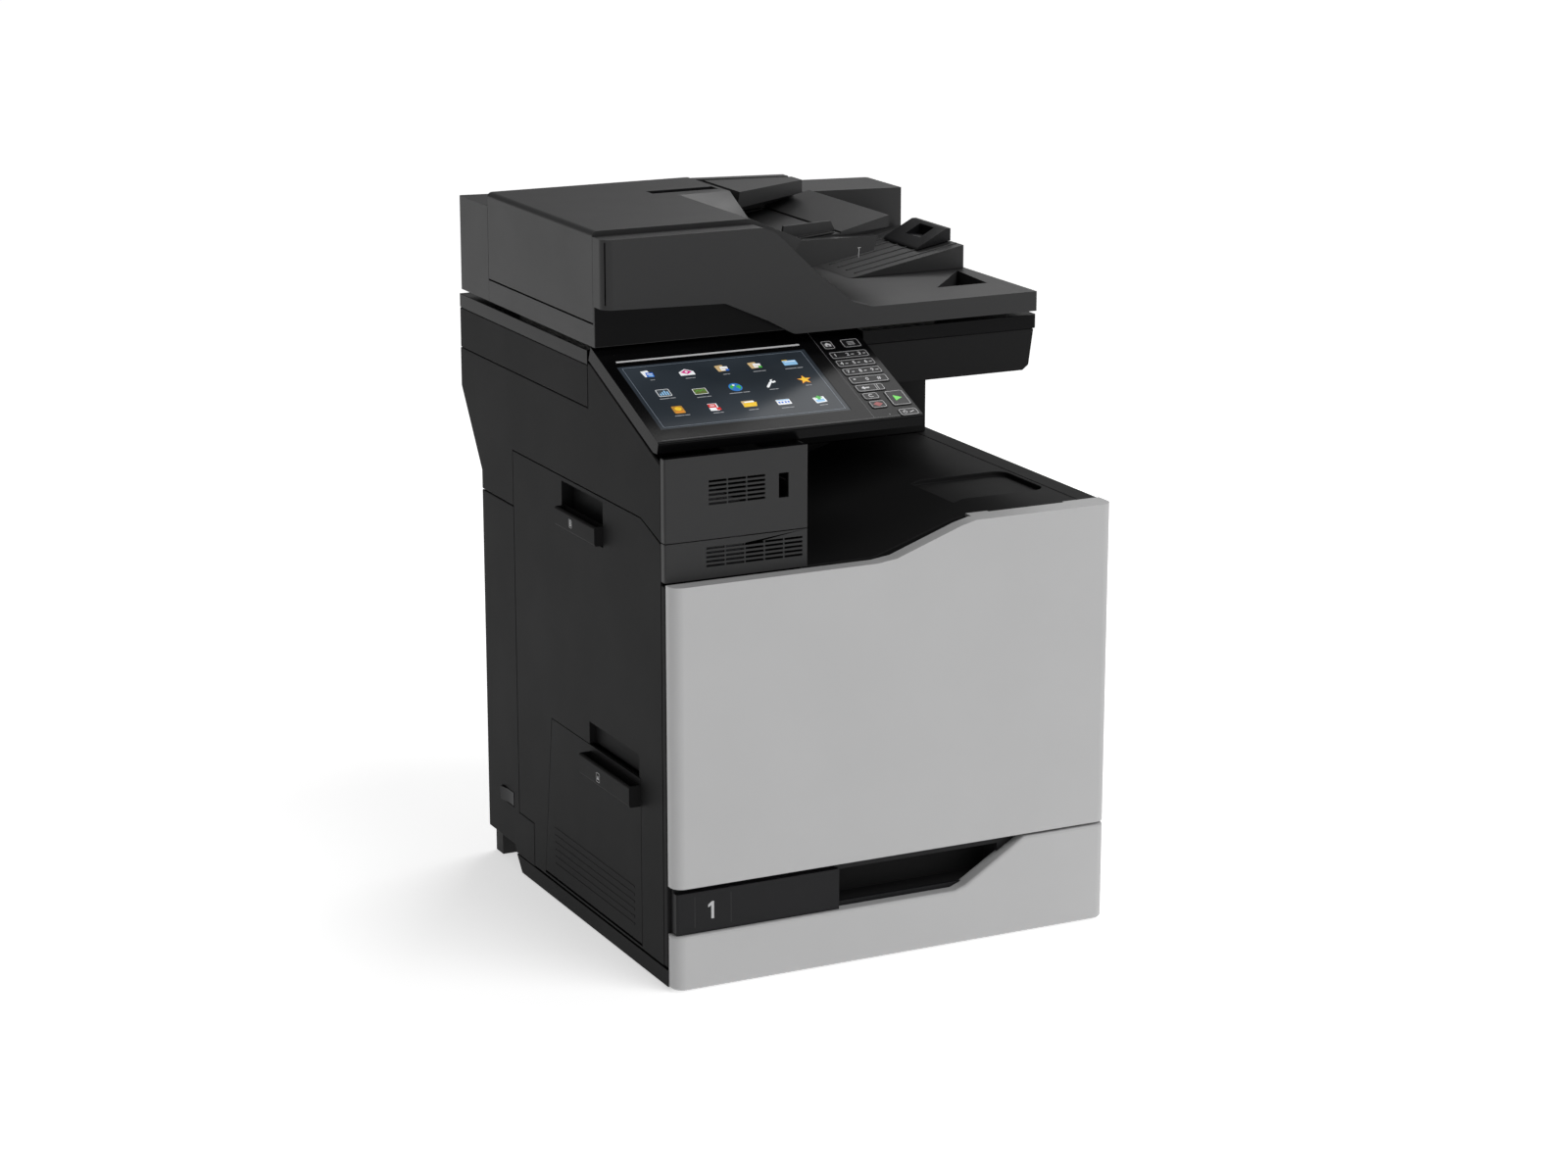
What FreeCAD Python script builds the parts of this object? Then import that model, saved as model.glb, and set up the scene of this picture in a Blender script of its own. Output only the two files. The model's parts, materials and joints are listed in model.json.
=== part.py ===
import FreeCAD, Part
import math
import os
import re
import Sketcher

# An office colour copier with a document feeder, built as a parametric document in millimetres.
# Machine coordinates: X from the left side plane, Y back from the front door, Z up from the floor.
# Every finished node is then moved so that the origin is under the middle of the bounding box.

doc = FreeCAD.newDocument("Copier")
sheet = doc.addObject("Spreadsheet::Sheet", "Sizes")

SIZES = {
    # whole machine
    "width": 559, "lower_back": 558, "column_back": 620, "wall": 3, "gap": 1, "fit": 0.3,
    "middle_x": 274.5, "middle_y": 310, "seam": 0.6,
    # underside and lower body
    "skirt_low": 3, "curve_start": 452, "curve_end": 474, "underside": 32, "skirt_top": 22.5,
    "deck_top": 508, "rail_x": 533, "side_front": 34.5, "foot_radius": 13, "strip_front": 21,
    # engine frame and internals
    "frame_front": 40, "frame_back": 446, "frame_side": 22, "plate": 1.6, "beam": 16, "frame_low": 130,
    # front door
    "door_low": 124, "door_side_top": 472.5, "door_top": 509, "door_depth": 19, "door_lip": 33,
    "dip_end": 265, "dip_rise": 368, "corner": 14, "door_hinge_y": 6, "door_hinge_z": 130,
    # paper tray
    "tray_top": 120.8, "tray_low_top": 68, "tray_step_start": 371, "tray_step_end": 449,
    "tray_fascia_depth": 20, "tray_left": 20, "tray_right": 545, "tray_length": 443, "tray_box_low": 9, "tray_box_top": 112,
    "pocket_low": 74, "pocket_high": 113, "pocket_x": 206, "label_end": 80,
    # side door with the feeder door inside it
    "door_b_low": 25.5, "door_b_top": 533.5, "door_b_front": 32, "door_b_back": 456.5,
    "door_b_step_y": 409.5, "door_b_step_z": 80, "hinge_b_x": 6, "hinge_b_z": 31,
    "mp_hinge_x": 5, "mp_hinge_z": 35, "mp_low": 31, "mp_top": 229, "mp_front": 92, "mp_back": 376, "mp_back_top": 349,
    "mp_grip_z": 196, "mp_grip_top": 221, "mp_grip_back": 236, "mp_grip_out": 14,
    "grip_b_front": 191, "grip_b_back": 307, "grip_b_low": 477, "grip_b_high": 500, "grip_b_top": 529,
    "grip_b_out": 10,
    # left panels, vents and exit block
    "seam_z": 466, "seam_y": 457, "upper_edge": 534.5, "scanner_low": 631, "rocker_y": 493,
    "rocker_z": 90.5, "rocker_wide": 38, "rocker_tall": 18, "block_x": 175, "block_y": 20,
    "block_seam": 518, "block_top": 613, "bin_floor": 440, "bin_flat_x": 415, "column_front": 430,
    "column_x": 545, "port_x": 139, "port_wide": 12, "port_z": 556, "port_tall": 28,
    # scanner
    "band_low": 680, "band_top": 697, "scanner_right": 563, "scanner_slant": 553, "scanner_front": 190,
    "scanner_left_front": 228, "scanner_split": 331, "scanner_back": 619, "glass_x": 40, "glass_y": 250,
    "glass_long": 450, "glass_wide": 310, "glass_thick": 3,
    # control panel, in its own tilted frame
    "panel_y": 217.6, "panel_z": 701.9, "panel_tilt": 21.9, "panel_long": 197, "panel_wide": 328,
    "panel_thick": 17, "screen_x": 14, "screen_s": 44, "screen_wide": 234, "screen_tall": 128,
    "key_high": 0.8, "key_deep": 4.2,
    # lid and document feeder
    "lid_low": 703.5, "lid_deck": 727, "feeder_top": 829, "cover_top": 835, "lid_front": 179,
    "cap_back": 209, "cover_back": 522, "housing_back": 615, "lid_right": 556, "lid_hinge_y": 611,
    "lid_hinge_z": 707, "cover_right": 250, "cover_low": 731, "platform_front": 350, "platform_back": 516,
    "platform_left": 372, "platform_right": 552, "tray_front": 292,
}
for row, (alias, value) in enumerate(SIZES.items(), start=1):
    sheet.set("A%d" % row, alias)
    sheet.set("B%d" % row, str(value))
    sheet.setAlias("B%d" % row, alias)
doc.recompute()

FUNCTIONS = {"sin", "cos", "tan", "sqrt", "deg"}
NODES = []

# Where the knuckles of each hinge start along its axis.
DOOR_EARS = ("40", "width - 64")
DOOR_B_EARS = ("50", "390")
LID_EARS = ("86", "452")


def bound(text):
    """Turn the words of a formula into references to the sheet's cells."""
    def cell(word):
        return word.group(0) if word.group(0) in FUNCTIONS else "Sizes." + word.group(0)
    return re.sub(r"[a-z][a-z_]*", cell, str(text))


def place(piece, x, y, z):
    for axis, text in zip("xyz", (x, y, z)):
        piece.setExpression("Placement.Base." + axis, bound(text))


def box(name, x, y, z):
    """A block between two corners, each side given as a pair of formulas."""
    piece = doc.addObject("Part::Box", name)
    for size, (low, high) in (("Length", x), ("Width", y), ("Height", z)):
        piece.setExpression(size, bound("(%s) - (%s)" % (high, low)))
    place(piece, x[0], y[0], z[0])
    return piece


TURNS = {
    "X": FreeCAD.Rotation(FreeCAD.Vector(0, 1, 0), 90),
    "Y": FreeCAD.Rotation(FreeCAD.Vector(1, 0, 0), -90),
    "Z": FreeCAD.Rotation(),
}


def rod(name, axis, start, length, radius):
    """A round bar that starts at a point and runs along +X, +Y or +Z."""
    piece = doc.addObject("Part::Cylinder", name)
    piece.Placement.Rotation = TURNS[axis]
    piece.setExpression("Radius", bound(radius))
    piece.setExpression("Height", bound(length))
    place(piece, *start)
    return piece


PLANES = {"X": "YZ_Plane", "Y": "XZ_Plane", "Z": "XY_Plane"}


def prism(name, axis, span, outline):
    """A padded sketch: the outline's corners are formulas, and the pad runs from span[0] to span[1]."""
    body = doc.addObject("PartDesign::Body", name)
    sketch = body.newObject("Sketcher::SketchObject", name + "_outline")
    plane = [item for item in body.Origin.OriginFeatures if item.Role == PLANES[axis]][0]
    sketch.AttachmentSupport = [(plane, "")]
    sketch.MapMode = "FlatFace"
    count = len(outline)
    rough = []
    for step in range(count):
        turn = 2 * math.pi * step / count
        rough.append(FreeCAD.Vector(300 + 200 * math.cos(turn), 300 + 200 * math.sin(turn), 0))
    for step in range(count):
        sketch.addGeometry(Part.LineSegment(rough[step], rough[(step + 1) % count]), False)
    for step in range(count):
        sketch.addConstraint(Sketcher.Constraint("Coincident", step, 2, (step + 1) % count, 1))
    for step, corner in enumerate(outline):
        for kind, text in zip(("DistanceX", "DistanceY"), corner):
            index = sketch.addConstraint(Sketcher.Constraint(kind, -1, 1, step, 1, 100.0))
            sketch.setExpression("Constraints[%d]" % index, bound(text))
    pad = body.newObject("PartDesign::Pad", name + "_pad")
    pad.Profile = sketch
    pad.setExpression("Length", bound("(%s) - (%s)" % (span[1], span[0])))
    pad.Reversed = axis == "Y"
    sketch.Visibility = False
    body.setExpression("Placement.Base." + axis.lower(), bound(span[0]))
    return body


def join(name, pieces):
    piece = doc.addObject("Part::MultiFuse", name)
    piece.Shapes = pieces
    return piece


def cut(name, base, tools):
    piece = doc.addObject("Part::Cut", name)
    piece.Base = base
    piece.Tool = tools[0] if len(tools) == 1 else join(name + "_tools", tools)
    return piece


def group(name, pieces):
    """Separate solids that are one node, such as a set of feet."""
    piece = doc.addObject("Part::Compound", name)
    piece.Links = pieces
    return piece


def rounded(name, base, radius, chosen):
    """Round the edges of a piece that the test chooses by their two end points."""
    base.recompute(True)
    edges = []
    for index, edge in enumerate(base.Shape.Edges, start=1):
        ends = [vertex.Point for vertex in edge.Vertexes]
        if len(ends) == 2 and chosen(ends[0], ends[1]):
            edges.append((index, radius, radius))
    if not edges:
        raise ValueError("no edge to round on " + name)
    piece = doc.addObject("Part::Fillet", name)
    piece.Base = base
    piece.Edges = edges
    return piece


def runs(axis, low, high):
    """A test for edges along one axis: the other coordinates' ranges are given as (low, high)."""
    def test(start, end):
        for index in range(3):
            moved = abs(start[index] - end[index]) > 0.01
            if moved != (index == "XYZ".index(axis)):
                return False
            middle = (start[index] + end[index]) / 2
            if not low[index] - 0.01 <= middle <= high[index] + 0.01:
                return False
        return True
    return test


def node(piece, label):
    """Give a finished sub-part its name and move it so that the origin is under the machine."""
    piece.Label = label
    formulas = dict(piece.ExpressionEngine)
    for axis, offset in (("x", "middle_x"), ("y", "middle_y")):
        held = formulas.get(".Placement.Base." + axis, "0")
        piece.setExpression("Placement.Base." + axis, "(%s) - Sizes.%s" % (held, offset))
    NODES.append(piece)
    return piece


# ---------------------------------------------------------------- underside, feet and frame

def build_base():
    floor = [("strip_front", "skirt_low"), ("curve_start", "skirt_low"), ("curve_end", "underside"),
             ("lower_back", "underside"), ("lower_back", "underside + wall"),
             ("curve_end - 2", "underside + wall"), ("curve_start - 2", "skirt_low + wall"),
             ("strip_front", "skirt_low + wall")]
    skirt = [("strip_front", "skirt_low"), ("curve_start", "skirt_low"),
             ("curve_end - 6", "skirt_top"), ("strip_front", "skirt_top")]
    plate = prism("pan_floor", "X", ("wall + fit", "width - wall - seam"), floor)
    side = prism("pan_skirt", "X", ("0", "wall + fit"), skirt)
    node(join("pan", [plate, side]), "base_pan")

    feet = []
    for index, x in enumerate(("46", "width - 46")):
        feet.append(rod("front_foot_%d" % index, "Z", (x, "66", "0"), "skirt_low", "foot_radius"))
    for index, x in enumerate(("8", "width - 28")):
        feet.append(box("rear_foot_%d" % index, (x, x + " + 20"), ("lower_back - 24", "lower_back - 2"),
                        ("0", "underside")))
    node(group("feet", feet), "rubber_feet")


def build_frame():
    side = ("frame_side", "width - frame_side")
    front = box("frame_front_plate", side, ("frame_front", "frame_front + plate"), ("frame_low", "432"))
    windows = [box("frame_window_%d" % index, (str(66 + 108 * index), str(158 + 108 * index)),
                   ("frame_front - 1", "frame_front + plate + 1"), ("262", "402")) for index in range(4)]
    front = cut("frame_front_open", front, windows)
    back = box("frame_rear_plate", side, ("frame_back", "frame_back + plate"), ("underside + 6", "432"))
    bars = []
    for index, x in enumerate(("frame_side", "width - frame_side - beam")):
        for level, z in enumerate(("frame_low", "432 - beam")):
            bars.append(box("frame_bar_%d%d" % (index, level), (x, x + " + beam"),
                            ("frame_front + plate", "frame_back"), (z, z + " + beam")))
    node(join("frame", [front, back] + bars), "engine_frame")


# ---------------------------------------------------------------- fixed covers

def build_right_and_rear():
    profile = [("side_front", "skirt_low"), ("curve_start", "skirt_low"), ("curve_end", "underside"),
               ("lower_back", "underside"), ("lower_back", "deck_top"), ("side_front", "deck_top")]
    side = prism("right_wall", "X", ("width - wall", "width"), profile)
    rail = box("right_rail", ("rail_x", "width"), ("side_front", "lower_back"), ("deck_top - wall", "deck_top"))
    shell = join("right_shell", [side, rail])
    vents = [box("right_vent_%d" % index, ("width - wall - 1", "width + 1"), ("330", "430"),
                 (str(180 + 9 * index), str(184 + 9 * index))) for index in range(9)]
    node(cut("right_side", shell, vents), "right_cover")

    slope = [("lower_back", "underside + wall + seam"), ("lower_back", "489"), ("column_back", "583"),
             ("column_back", "scanner_low - seam"), ("column_back - wall", "scanner_low - seam"),
             ("column_back - wall", "584"), ("lower_back - wall", "490"),
             ("lower_back - wall", "underside + wall + seam")]
    inner_x = ("wall + fit", "column_x - wall - fit")
    back = prism("rear_slope", "X", inner_x, slope)
    side = box("rear_side", ("column_x - wall - fit", "width - wall - fit"),
               ("lower_back - wall", "lower_back"), ("underside + wall + seam", "deck_top - wall - seam"))
    shell = join("rear_shell", [back, side])
    vents = [box("rear_vent_%d" % index, ("70", "230"), ("lower_back - wall - 1", "lower_back + 1"),
                 (str(300 + 10 * index), str(305 + 10 * index))) for index in range(8)]
    ports = box("rear_port_hole", ("388", "488"), ("lower_back - wall - 1", "lower_back + 1"), ("250", "290"))
    inlet = box("rear_inlet_hole", ("60", "92"), ("lower_back - wall - 1", "lower_back + 1"), ("60", "86"))
    node(cut("rear_side_cover", shell, vents + [ports, inlet]), "rear_cover")

    inlet = box("inlet_body", ("60", "92"), ("lower_back - 22", "lower_back - 0.5"), ("60", "86"))
    socket = box("inlet_socket", ("63", "89"), ("lower_back - 18", "lower_back + 1"), ("63", "83"))
    pins = [box("inlet_pin_%d" % index, (str(69 + 6 * index), str(71 + 6 * index)),
                ("lower_back - 18", "lower_back - 5"), (str(71 + (index % 2) * 3), str(76 + (index % 2) * 3)))
            for index in range(3)]
    node(join("inlet", [cut("inlet_shell", inlet, [socket])] + pins), "power_inlet")


def build_left():
    rear = [("door_b_step_y + gap + 0.5", "skirt_top + gap"), ("curve_end - 5.5", "skirt_top + gap"),
            ("curve_end", "underside + gap"), ("lower_back", "underside + gap"),
            ("lower_back", "seam_z - gap"), ("seam_y + gap", "seam_z - gap"),
            ("seam_y + gap", "door_b_step_z - gap"), ("door_b_step_y + gap + 0.5", "door_b_step_z - gap")]
    panel = prism("left_rear_panel", "X", ("0", "wall"), rear)
    hole = box("rocker_hole", ("-1", "wall + 1"), ("rocker_y - rocker_wide/2", "rocker_y + rocker_wide/2"),
               ("rocker_z - rocker_tall/2", "rocker_z + rocker_tall/2"))
    node(cut("left_rear", panel, [hole]), "left_rear_cover")

    upper = [("door_b_front - gap", "517.5"), ("85", "upper_edge"), ("seam_y + 0.5", "upper_edge"),
             ("seam_y + 0.5", "seam_z"), ("lower_back", "seam_z"), ("lower_back", "489"),
             ("column_back", "583"), ("column_back", "scanner_low - seam"), ("227", "scanner_low - seam"),
             ("227", "683"), ("218", "681.5"), ("door_b_front - gap", "605")]
    panel = prism("left_upper_panel", "X", ("0", "wall"), upper)
    node(panel, "left_upper_cover")

    strip = box("strip_block", ("0", "12"), ("strip_front", "door_b_front - gap"), ("26", "seam_z + 4"))
    node(rounded("strip_soft", strip, 1.5, runs("Z", (-1, 0, 0), (1, 22, 999))), "front_strip")


def slots(name, x_start, x_width, columns, rib, z_low, pitch, tall, rows, y):
    """Rows of vent slots with narrow ribs between the columns."""
    pieces = []
    step = (x_width + rib) / columns
    for column in range(columns):
        for row_number in range(rows):
            low = x_start + column * step
            level = z_low + row_number * pitch
            pieces.append(box("%s_%d_%d" % (name, column, row_number), (str(low), str(low + step - rib)), y,
                              (str(level), str(level + tall))))
    return pieces


def build_exit_block():
    through = ("block_y - 1", "block_y + wall + 1")
    front = box("block_front", ("0", "block_x"), ("block_y", "block_y + wall"), ("block_seam + 0.5", "block_top"))
    left = box("block_left", ("0", "wall"), ("block_y", "door_b_front - gap - 0.5"),
               ("block_seam + 0.5", "block_top"))
    right = box("block_right", ("block_x - wall", "block_x"), ("block_y", "column_front - 0.5"),
                ("block_seam + 0.5", "block_top"))
    top = box("block_ledge", ("0", "block_x"), ("block_y", "block_y + 9.5"), ("block_top - wall", "block_top"))
    shell = rounded("block_soft", join("block_shell", [front, left, right, top]), 2.5,
                    runs("Z", (-1, 19, 518), (999, 21, 614)))
    holes = slots("upper_slot", 53.4, 68.6, 3, 1.6, 557, 5.05, 2.6, 6, through)
    holes.append(box("port_hole", ("port_x", "port_x + port_wide"), through, ("port_z", "port_z + port_tall")))
    holes.append(box("exit_slot", ("block_x - wall - 1", "block_x + 1"), ("70", "390"), ("562", "586")))
    node(cut("block_open", shell, holes), "exit_block")

    step = [("block_y", "door_side_top + gap + 0.6"), ("side_front", "door_side_top + gap + 0.6"),
            ("side_front", "bin_floor - wall"), ("column_front - 0.5", "bin_floor - wall"),
            ("column_front - 0.5", "block_seam - 0.5"), ("block_y", "block_seam - 0.5")]
    right = prism("strip_right", "X", ("block_x - wall", "block_x"), step)
    front = box("strip_front_wall", ("0", "block_x"), ("block_y", "block_y + wall"),
                ("door_side_top + gap + 0.6", "block_seam - 0.5"))
    left = box("strip_left_wall", ("0", "wall"), ("block_y", "door_b_front - gap - 0.5"),
               ("door_side_top + gap + 0.6", "block_seam - 0.5"))
    shell = rounded("strip_round", join("strip_shell", [right, front, left]), 2.5,
                    runs("Z", (-1, 19, 473), (999, 21, 518)))
    holes = slots("lower_slot", 50, 118, 5, 1.6, 487, 5.0, 2.6, 5, through)
    holes += [box("side_slot_%d" % index, ("block_x - wall - 1", "block_x + 1"), ("block_y + 4", "block_y + 11"),
                  (str(487 + 5 * index), str(489.6 + 5 * index))) for index in range(5)]
    node(cut("strip_open", shell, holes), "vent_strip")


def build_bin():
    floor = [("block_x + 0.5", "bin_floor - wall"), ("block_x + 0.5", "bin_floor"), ("bin_flat_x", "deck_top"),
             ("rail_x - 0.5", "deck_top"), ("rail_x - 0.5", "deck_top - 12"), ("bin_flat_x + 12", "deck_top - 12")]
    deck = prism("bin_floor_plate", "Y", ("side_front", "column_front"), floor)
    front = [("block_x + 0.5", "bin_floor - wall"), ("block_x + 0.5", "door_side_top - 2"),
             ("dip_end", "door_side_top - 2"), ("dip_rise", "door_top - 5"), ("bin_flat_x", "deck_top")]
    back = [("block_x + 0.5", "bin_floor - wall"), ("block_x + 0.5", "deck_top"), ("bin_flat_x", "deck_top")]
    front_wall = prism("bin_front_wall", "Y", ("side_front", "side_front + wall"), front)
    back_wall = prism("bin_back_wall", "Y", ("column_front", "column_front + wall"), back)
    scoop = box("scoop_block", ("404", "527"), ("100", "204"), ("deck_top - 6", "deck_top + 9"))
    scoop = rounded("scoop_round", scoop, 16, runs("Z", (500, 90, 0), (560, 250, 999)))
    deck = cut("bin_scooped", deck, [scoop])
    node(join("bin", [deck, front_wall, back_wall]), "bin_deck")

    front = box("column_front_wall", ("block_x + 0.5", "column_x"), ("column_front", "column_front + wall"),
                ("deck_top + 0.4", "scanner_low - seam"))
    side = [("column_front", "deck_top + 0.4"), ("lower_back + 0.4", "deck_top + 0.4"),
            ("lower_back + 0.4", "490.5"), ("column_back", "583"), ("column_back", "scanner_low - seam"),
            ("column_front", "scanner_low - seam")]
    side = prism("column_side_wall", "X", ("column_x - wall", "column_x"), side)
    node(join("column", [front, side]), "rear_column")


# ---------------------------------------------------------------- inside the machine

def build_inside():
    casing = box("fuser_case", ("30", "118"), ("64", "404"), ("462", "548"))
    casing = rounded("fuser_soft", casing, 12, runs("Y", (0, 0, 540), (999, 999, 560)))
    mouth = box("fuser_mouth", ("66", "80"), ("90", "380"), ("461", "549"))
    node(cut("fuser", casing, [mouth]), "fuser_unit")

    drum = box("laser_case", ("40", "500"), ("70", "430"), ("148", "206"))
    windows = [box("laser_window_%d" % index, (str(100 + 108 * index), str(112 + 108 * index)),
                   ("100", "400"), ("200", "207")) for index in range(4)]
    node(cut("laser", drum, windows), "laser_unit")

    roller_a = rod("belt_drive", "Y", ("96", "70", "236"), "340", "17")
    roller_b = rod("belt_idler", "Y", ("470", "70", "236"), "340", "17")
    upper = box("belt_top", ("96", "470"), ("70", "410"), ("251.5", "253"))
    lower = box("belt_bottom", ("96", "470"), ("70", "410"), ("219", "220.5"))
    node(join("belt", [roller_a, roller_b, upper, lower]), "transfer_unit")

    cartridges = []
    for index in range(4):
        x = 70 + 108 * index
        case = box("toner_case_%d" % index, (str(x), str(x + 84)), ("frame_front - 8", "404"), ("268", "396"))
        case = rounded("toner_soft_%d" % index, case, 14, runs("Y", (0, 0, 380), (999, 999, 400)))
        hold = box("toner_hold_%d" % index, (str(x + 22), str(x + 62)), ("frame_front - 9", "frame_front + 4"),
                   ("300", "330"))
        cartridges.append(cut("toner_%d" % index, case, [hold]))
    node(group("toner_set", cartridges), "toner_cartridges")

    bottle = box("waste_bottle", ("80", "480"), ("frame_front - 15", "frame_front - 1"), ("166", "246"))
    bottle = rounded("waste_soft", bottle, 5, runs("Y", (0, 0, 0), (999, 999, 999)))
    node(bottle, "waste_toner_bottle")

    supply = box("supply_case", ("24", "200"), ("frame_back + 6", "lower_back - 24"), ("underside + 6", "150"))
    holes = slots("supply_slot", 40, 130, 6, 6, 60, 12, 5, 6, ("lower_back - 30", "lower_back - 20"))
    node(cut("supply", supply, holes), "power_supply")

    cage = box("cage_case", ("380", "540"), ("frame_back + 6", "lower_back - 6"), ("160", "420"))
    ports = [box("cage_port_%d" % index, (str(394 + 24 * index), str(408 + 24 * index)),
                 ("lower_back - 20", "lower_back - 5"), ("260", "276")) for index in range(4)]
    node(cut("cage", cage, ports), "controller_cage")


def build_scanner():
    def plan(name, grow, low, high):
        right = [("scanner_split", low), ("scanner_slant - 8 - " + grow, low), ("scanner_slant - " + grow, low + " + 6"),
                 ("scanner_right - 4 - " + grow, high), ("scanner_split", high)]
        main = box(name + "_main", (grow, "scanner_split"), ("scanner_left_front + " + grow, "scanner_back - " + grow),
                   (low, high))
        side = prism(name + "_side", "Y", ("scanner_front + " + grow, "scanner_back - " + grow), right)
        if grow == "0":
            return join(name, [main, side])
        link = box(name + "_link", ("scanner_split - 1", "scanner_split + wall"),
                   ("scanner_left_front + wall", "scanner_back - wall"), (low, high))
        side_cut = cut(name + "_side_in", side, [box(name + "_rib", ("scanner_split - 1", "scanner_split + wall"),
                                                     ("scanner_front", "scanner_left_front + wall"), (low, high))])
        return join(name, [main, side_cut, link])
    outer = plan("tub_outer", "0", "scanner_low", "band_low")
    inner = plan("tub_inner", "wall", "scanner_low + wall", "band_low + 1")
    node(cut("tub", outer, [inner]), "scanner_housing")

    low = "band_low + 0.4"
    plate = join("band_outer", [
        box("band_left", ("0", "scanner_split"), ("scanner_left_front", "scanner_back"), (low, "band_top")),
        box("band_right", ("scanner_split", "scanner_right"), ("scanner_front", "scanner_back"), (low, "band_top"))])
    soft = rounded("band_soft", plate, 5, runs("Z", (550, 0, 0), (600, 999, 999)))
    hollow = box("band_hollow", ("wall", "scanner_right - wall"), ("scanner_left_front + wall", "scanner_back - wall"),
                 ("band_low", "band_top - 2 * glass_thick"))
    seat = box("glass_seat", ("glass_x + 6", "glass_x + glass_long - 6"), ("glass_y + 6", "glass_y + glass_wide - 6"),
               ("band_low", "band_top + 1"))
    rebate = box("glass_rebate", ("glass_x", "glass_x + glass_long"), ("glass_y", "glass_y + glass_wide"),
                 ("band_top - glass_thick", "band_top + 1"))
    node(cut("band", soft, [hollow, seat, rebate]), "scanner_top_frame")

    pane = box("pane", ("glass_x", "glass_x + glass_long"), ("glass_y", "glass_y + glass_wide"),
               ("band_top - glass_thick", "band_top"))
    node(pane, "platen_glass")

    bar = box("carriage_bar", ("60", "100"), ("glass_y - 6", "glass_y + glass_wide + 6"), ("646", "676"))
    lamp = box("carriage_lamp", ("72", "88"), ("glass_y + 10", "glass_y + glass_wide - 10"), ("670", "677"))
    node(cut("carriage", bar, [lamp]), "scan_carriage")


# ---------------------------------------------------------------- control panel

KEYS = [
    # label, left and right edge, top and bottom edge measured down the slope
    ("home_key", 272, 287, 33, 51),
    ("menu_key", 297, 321, 33, 51),
    ("number_row_1", 272, 321, 56.5, 72),
    ("number_row_2", 272, 321, 74, 89.5),
    ("number_row_3", 272, 321, 91.5, 107),
    ("number_row_4", 272, 321, 109, 124.5),
    ("back_key", 272, 308, 126.5, 141),
    ("clear_key", 273, 293, 143.5, 157),
    ("stop_key", 274, 294, 160, 175),
    ("start_key", 301, 325, 144, 174),
    ("power_key", 301, 325, 181, 195),
]


def tilt(piece):
    """Lay a piece drawn in the panel's own frame onto the sloping panel."""
    piece.Placement.Rotation = FreeCAD.Rotation(FreeCAD.Vector(1, 0, 0), 1)
    piece.setExpression("Placement.Rotation.Angle", "Sizes.panel_tilt * 1deg")
    place(piece, "0", "panel_y", "panel_z")
    return piece


def build_panel():
    side = [("0 - panel_long", "0"), ("0", "0"), ("0", "0 - panel_thick"), ("8 - panel_long", "0 - panel_thick"),
            ("0 - panel_long - 1", "-13")]
    shell = prism("panel_block", "X", ("0", "panel_wide"), side)
    shell = rounded("panel_soft", shell, 3, runs("X", (0, -210, -0.1), (999, -190, 0.1)))
    hollow = box("panel_hollow", ("wall", "panel_wide - wall"), ("10 - panel_long", "-4"),
                 ("wall - panel_thick", "0 - wall"))
    window = box("screen_window", ("screen_x", "screen_x + screen_wide"),
                 ("0 - screen_s - screen_tall", "0 - screen_s"), ("-8", "1"))
    holes = [window, hollow]
    for label, left, right, top, bottom in KEYS:
        hole = box(label + "_hole", (str(left) + " - 0.35", str(right) + " + 0.35"),
                   ("%s - 0.35" % -bottom, "%s + 0.35" % -top), ("-8", "1"))
        holes.append(rounded(label + "_hole_soft", hole, 3.35, runs("Z", (0, -999, -9), (999, 0, 9))))
    node(tilt(cut("panel", shell, holes)), "control_panel")

    screen = box("screen_block", ("screen_x", "screen_x + screen_wide"),
                 ("0 - screen_s - screen_tall", "0 - screen_s"), ("-8", "-0.4"))
    node(tilt(cut("screen", screen, [box("screen_back", ("screen_x + 20", "screen_x + screen_wide - 20"),
                                         ("20 - screen_s - screen_tall", "-20 - screen_s"), ("-9", "-6"))])),
         "touch_screen")

    for label, left, right, top, bottom in KEYS:
        cap = box(label + "_block", (str(left), str(right)), (str(-bottom), str(-top)),
                  ("0 - key_deep", "key_high"))
        cap = rounded(label + "_round", cap, 3, runs("Z", (0, -999, -9), (999, 0, 9)))
        node(tilt(group(label + "_cap", [cap])), label)


# ---------------------------------------------------------------- front door and paper tray

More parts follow.
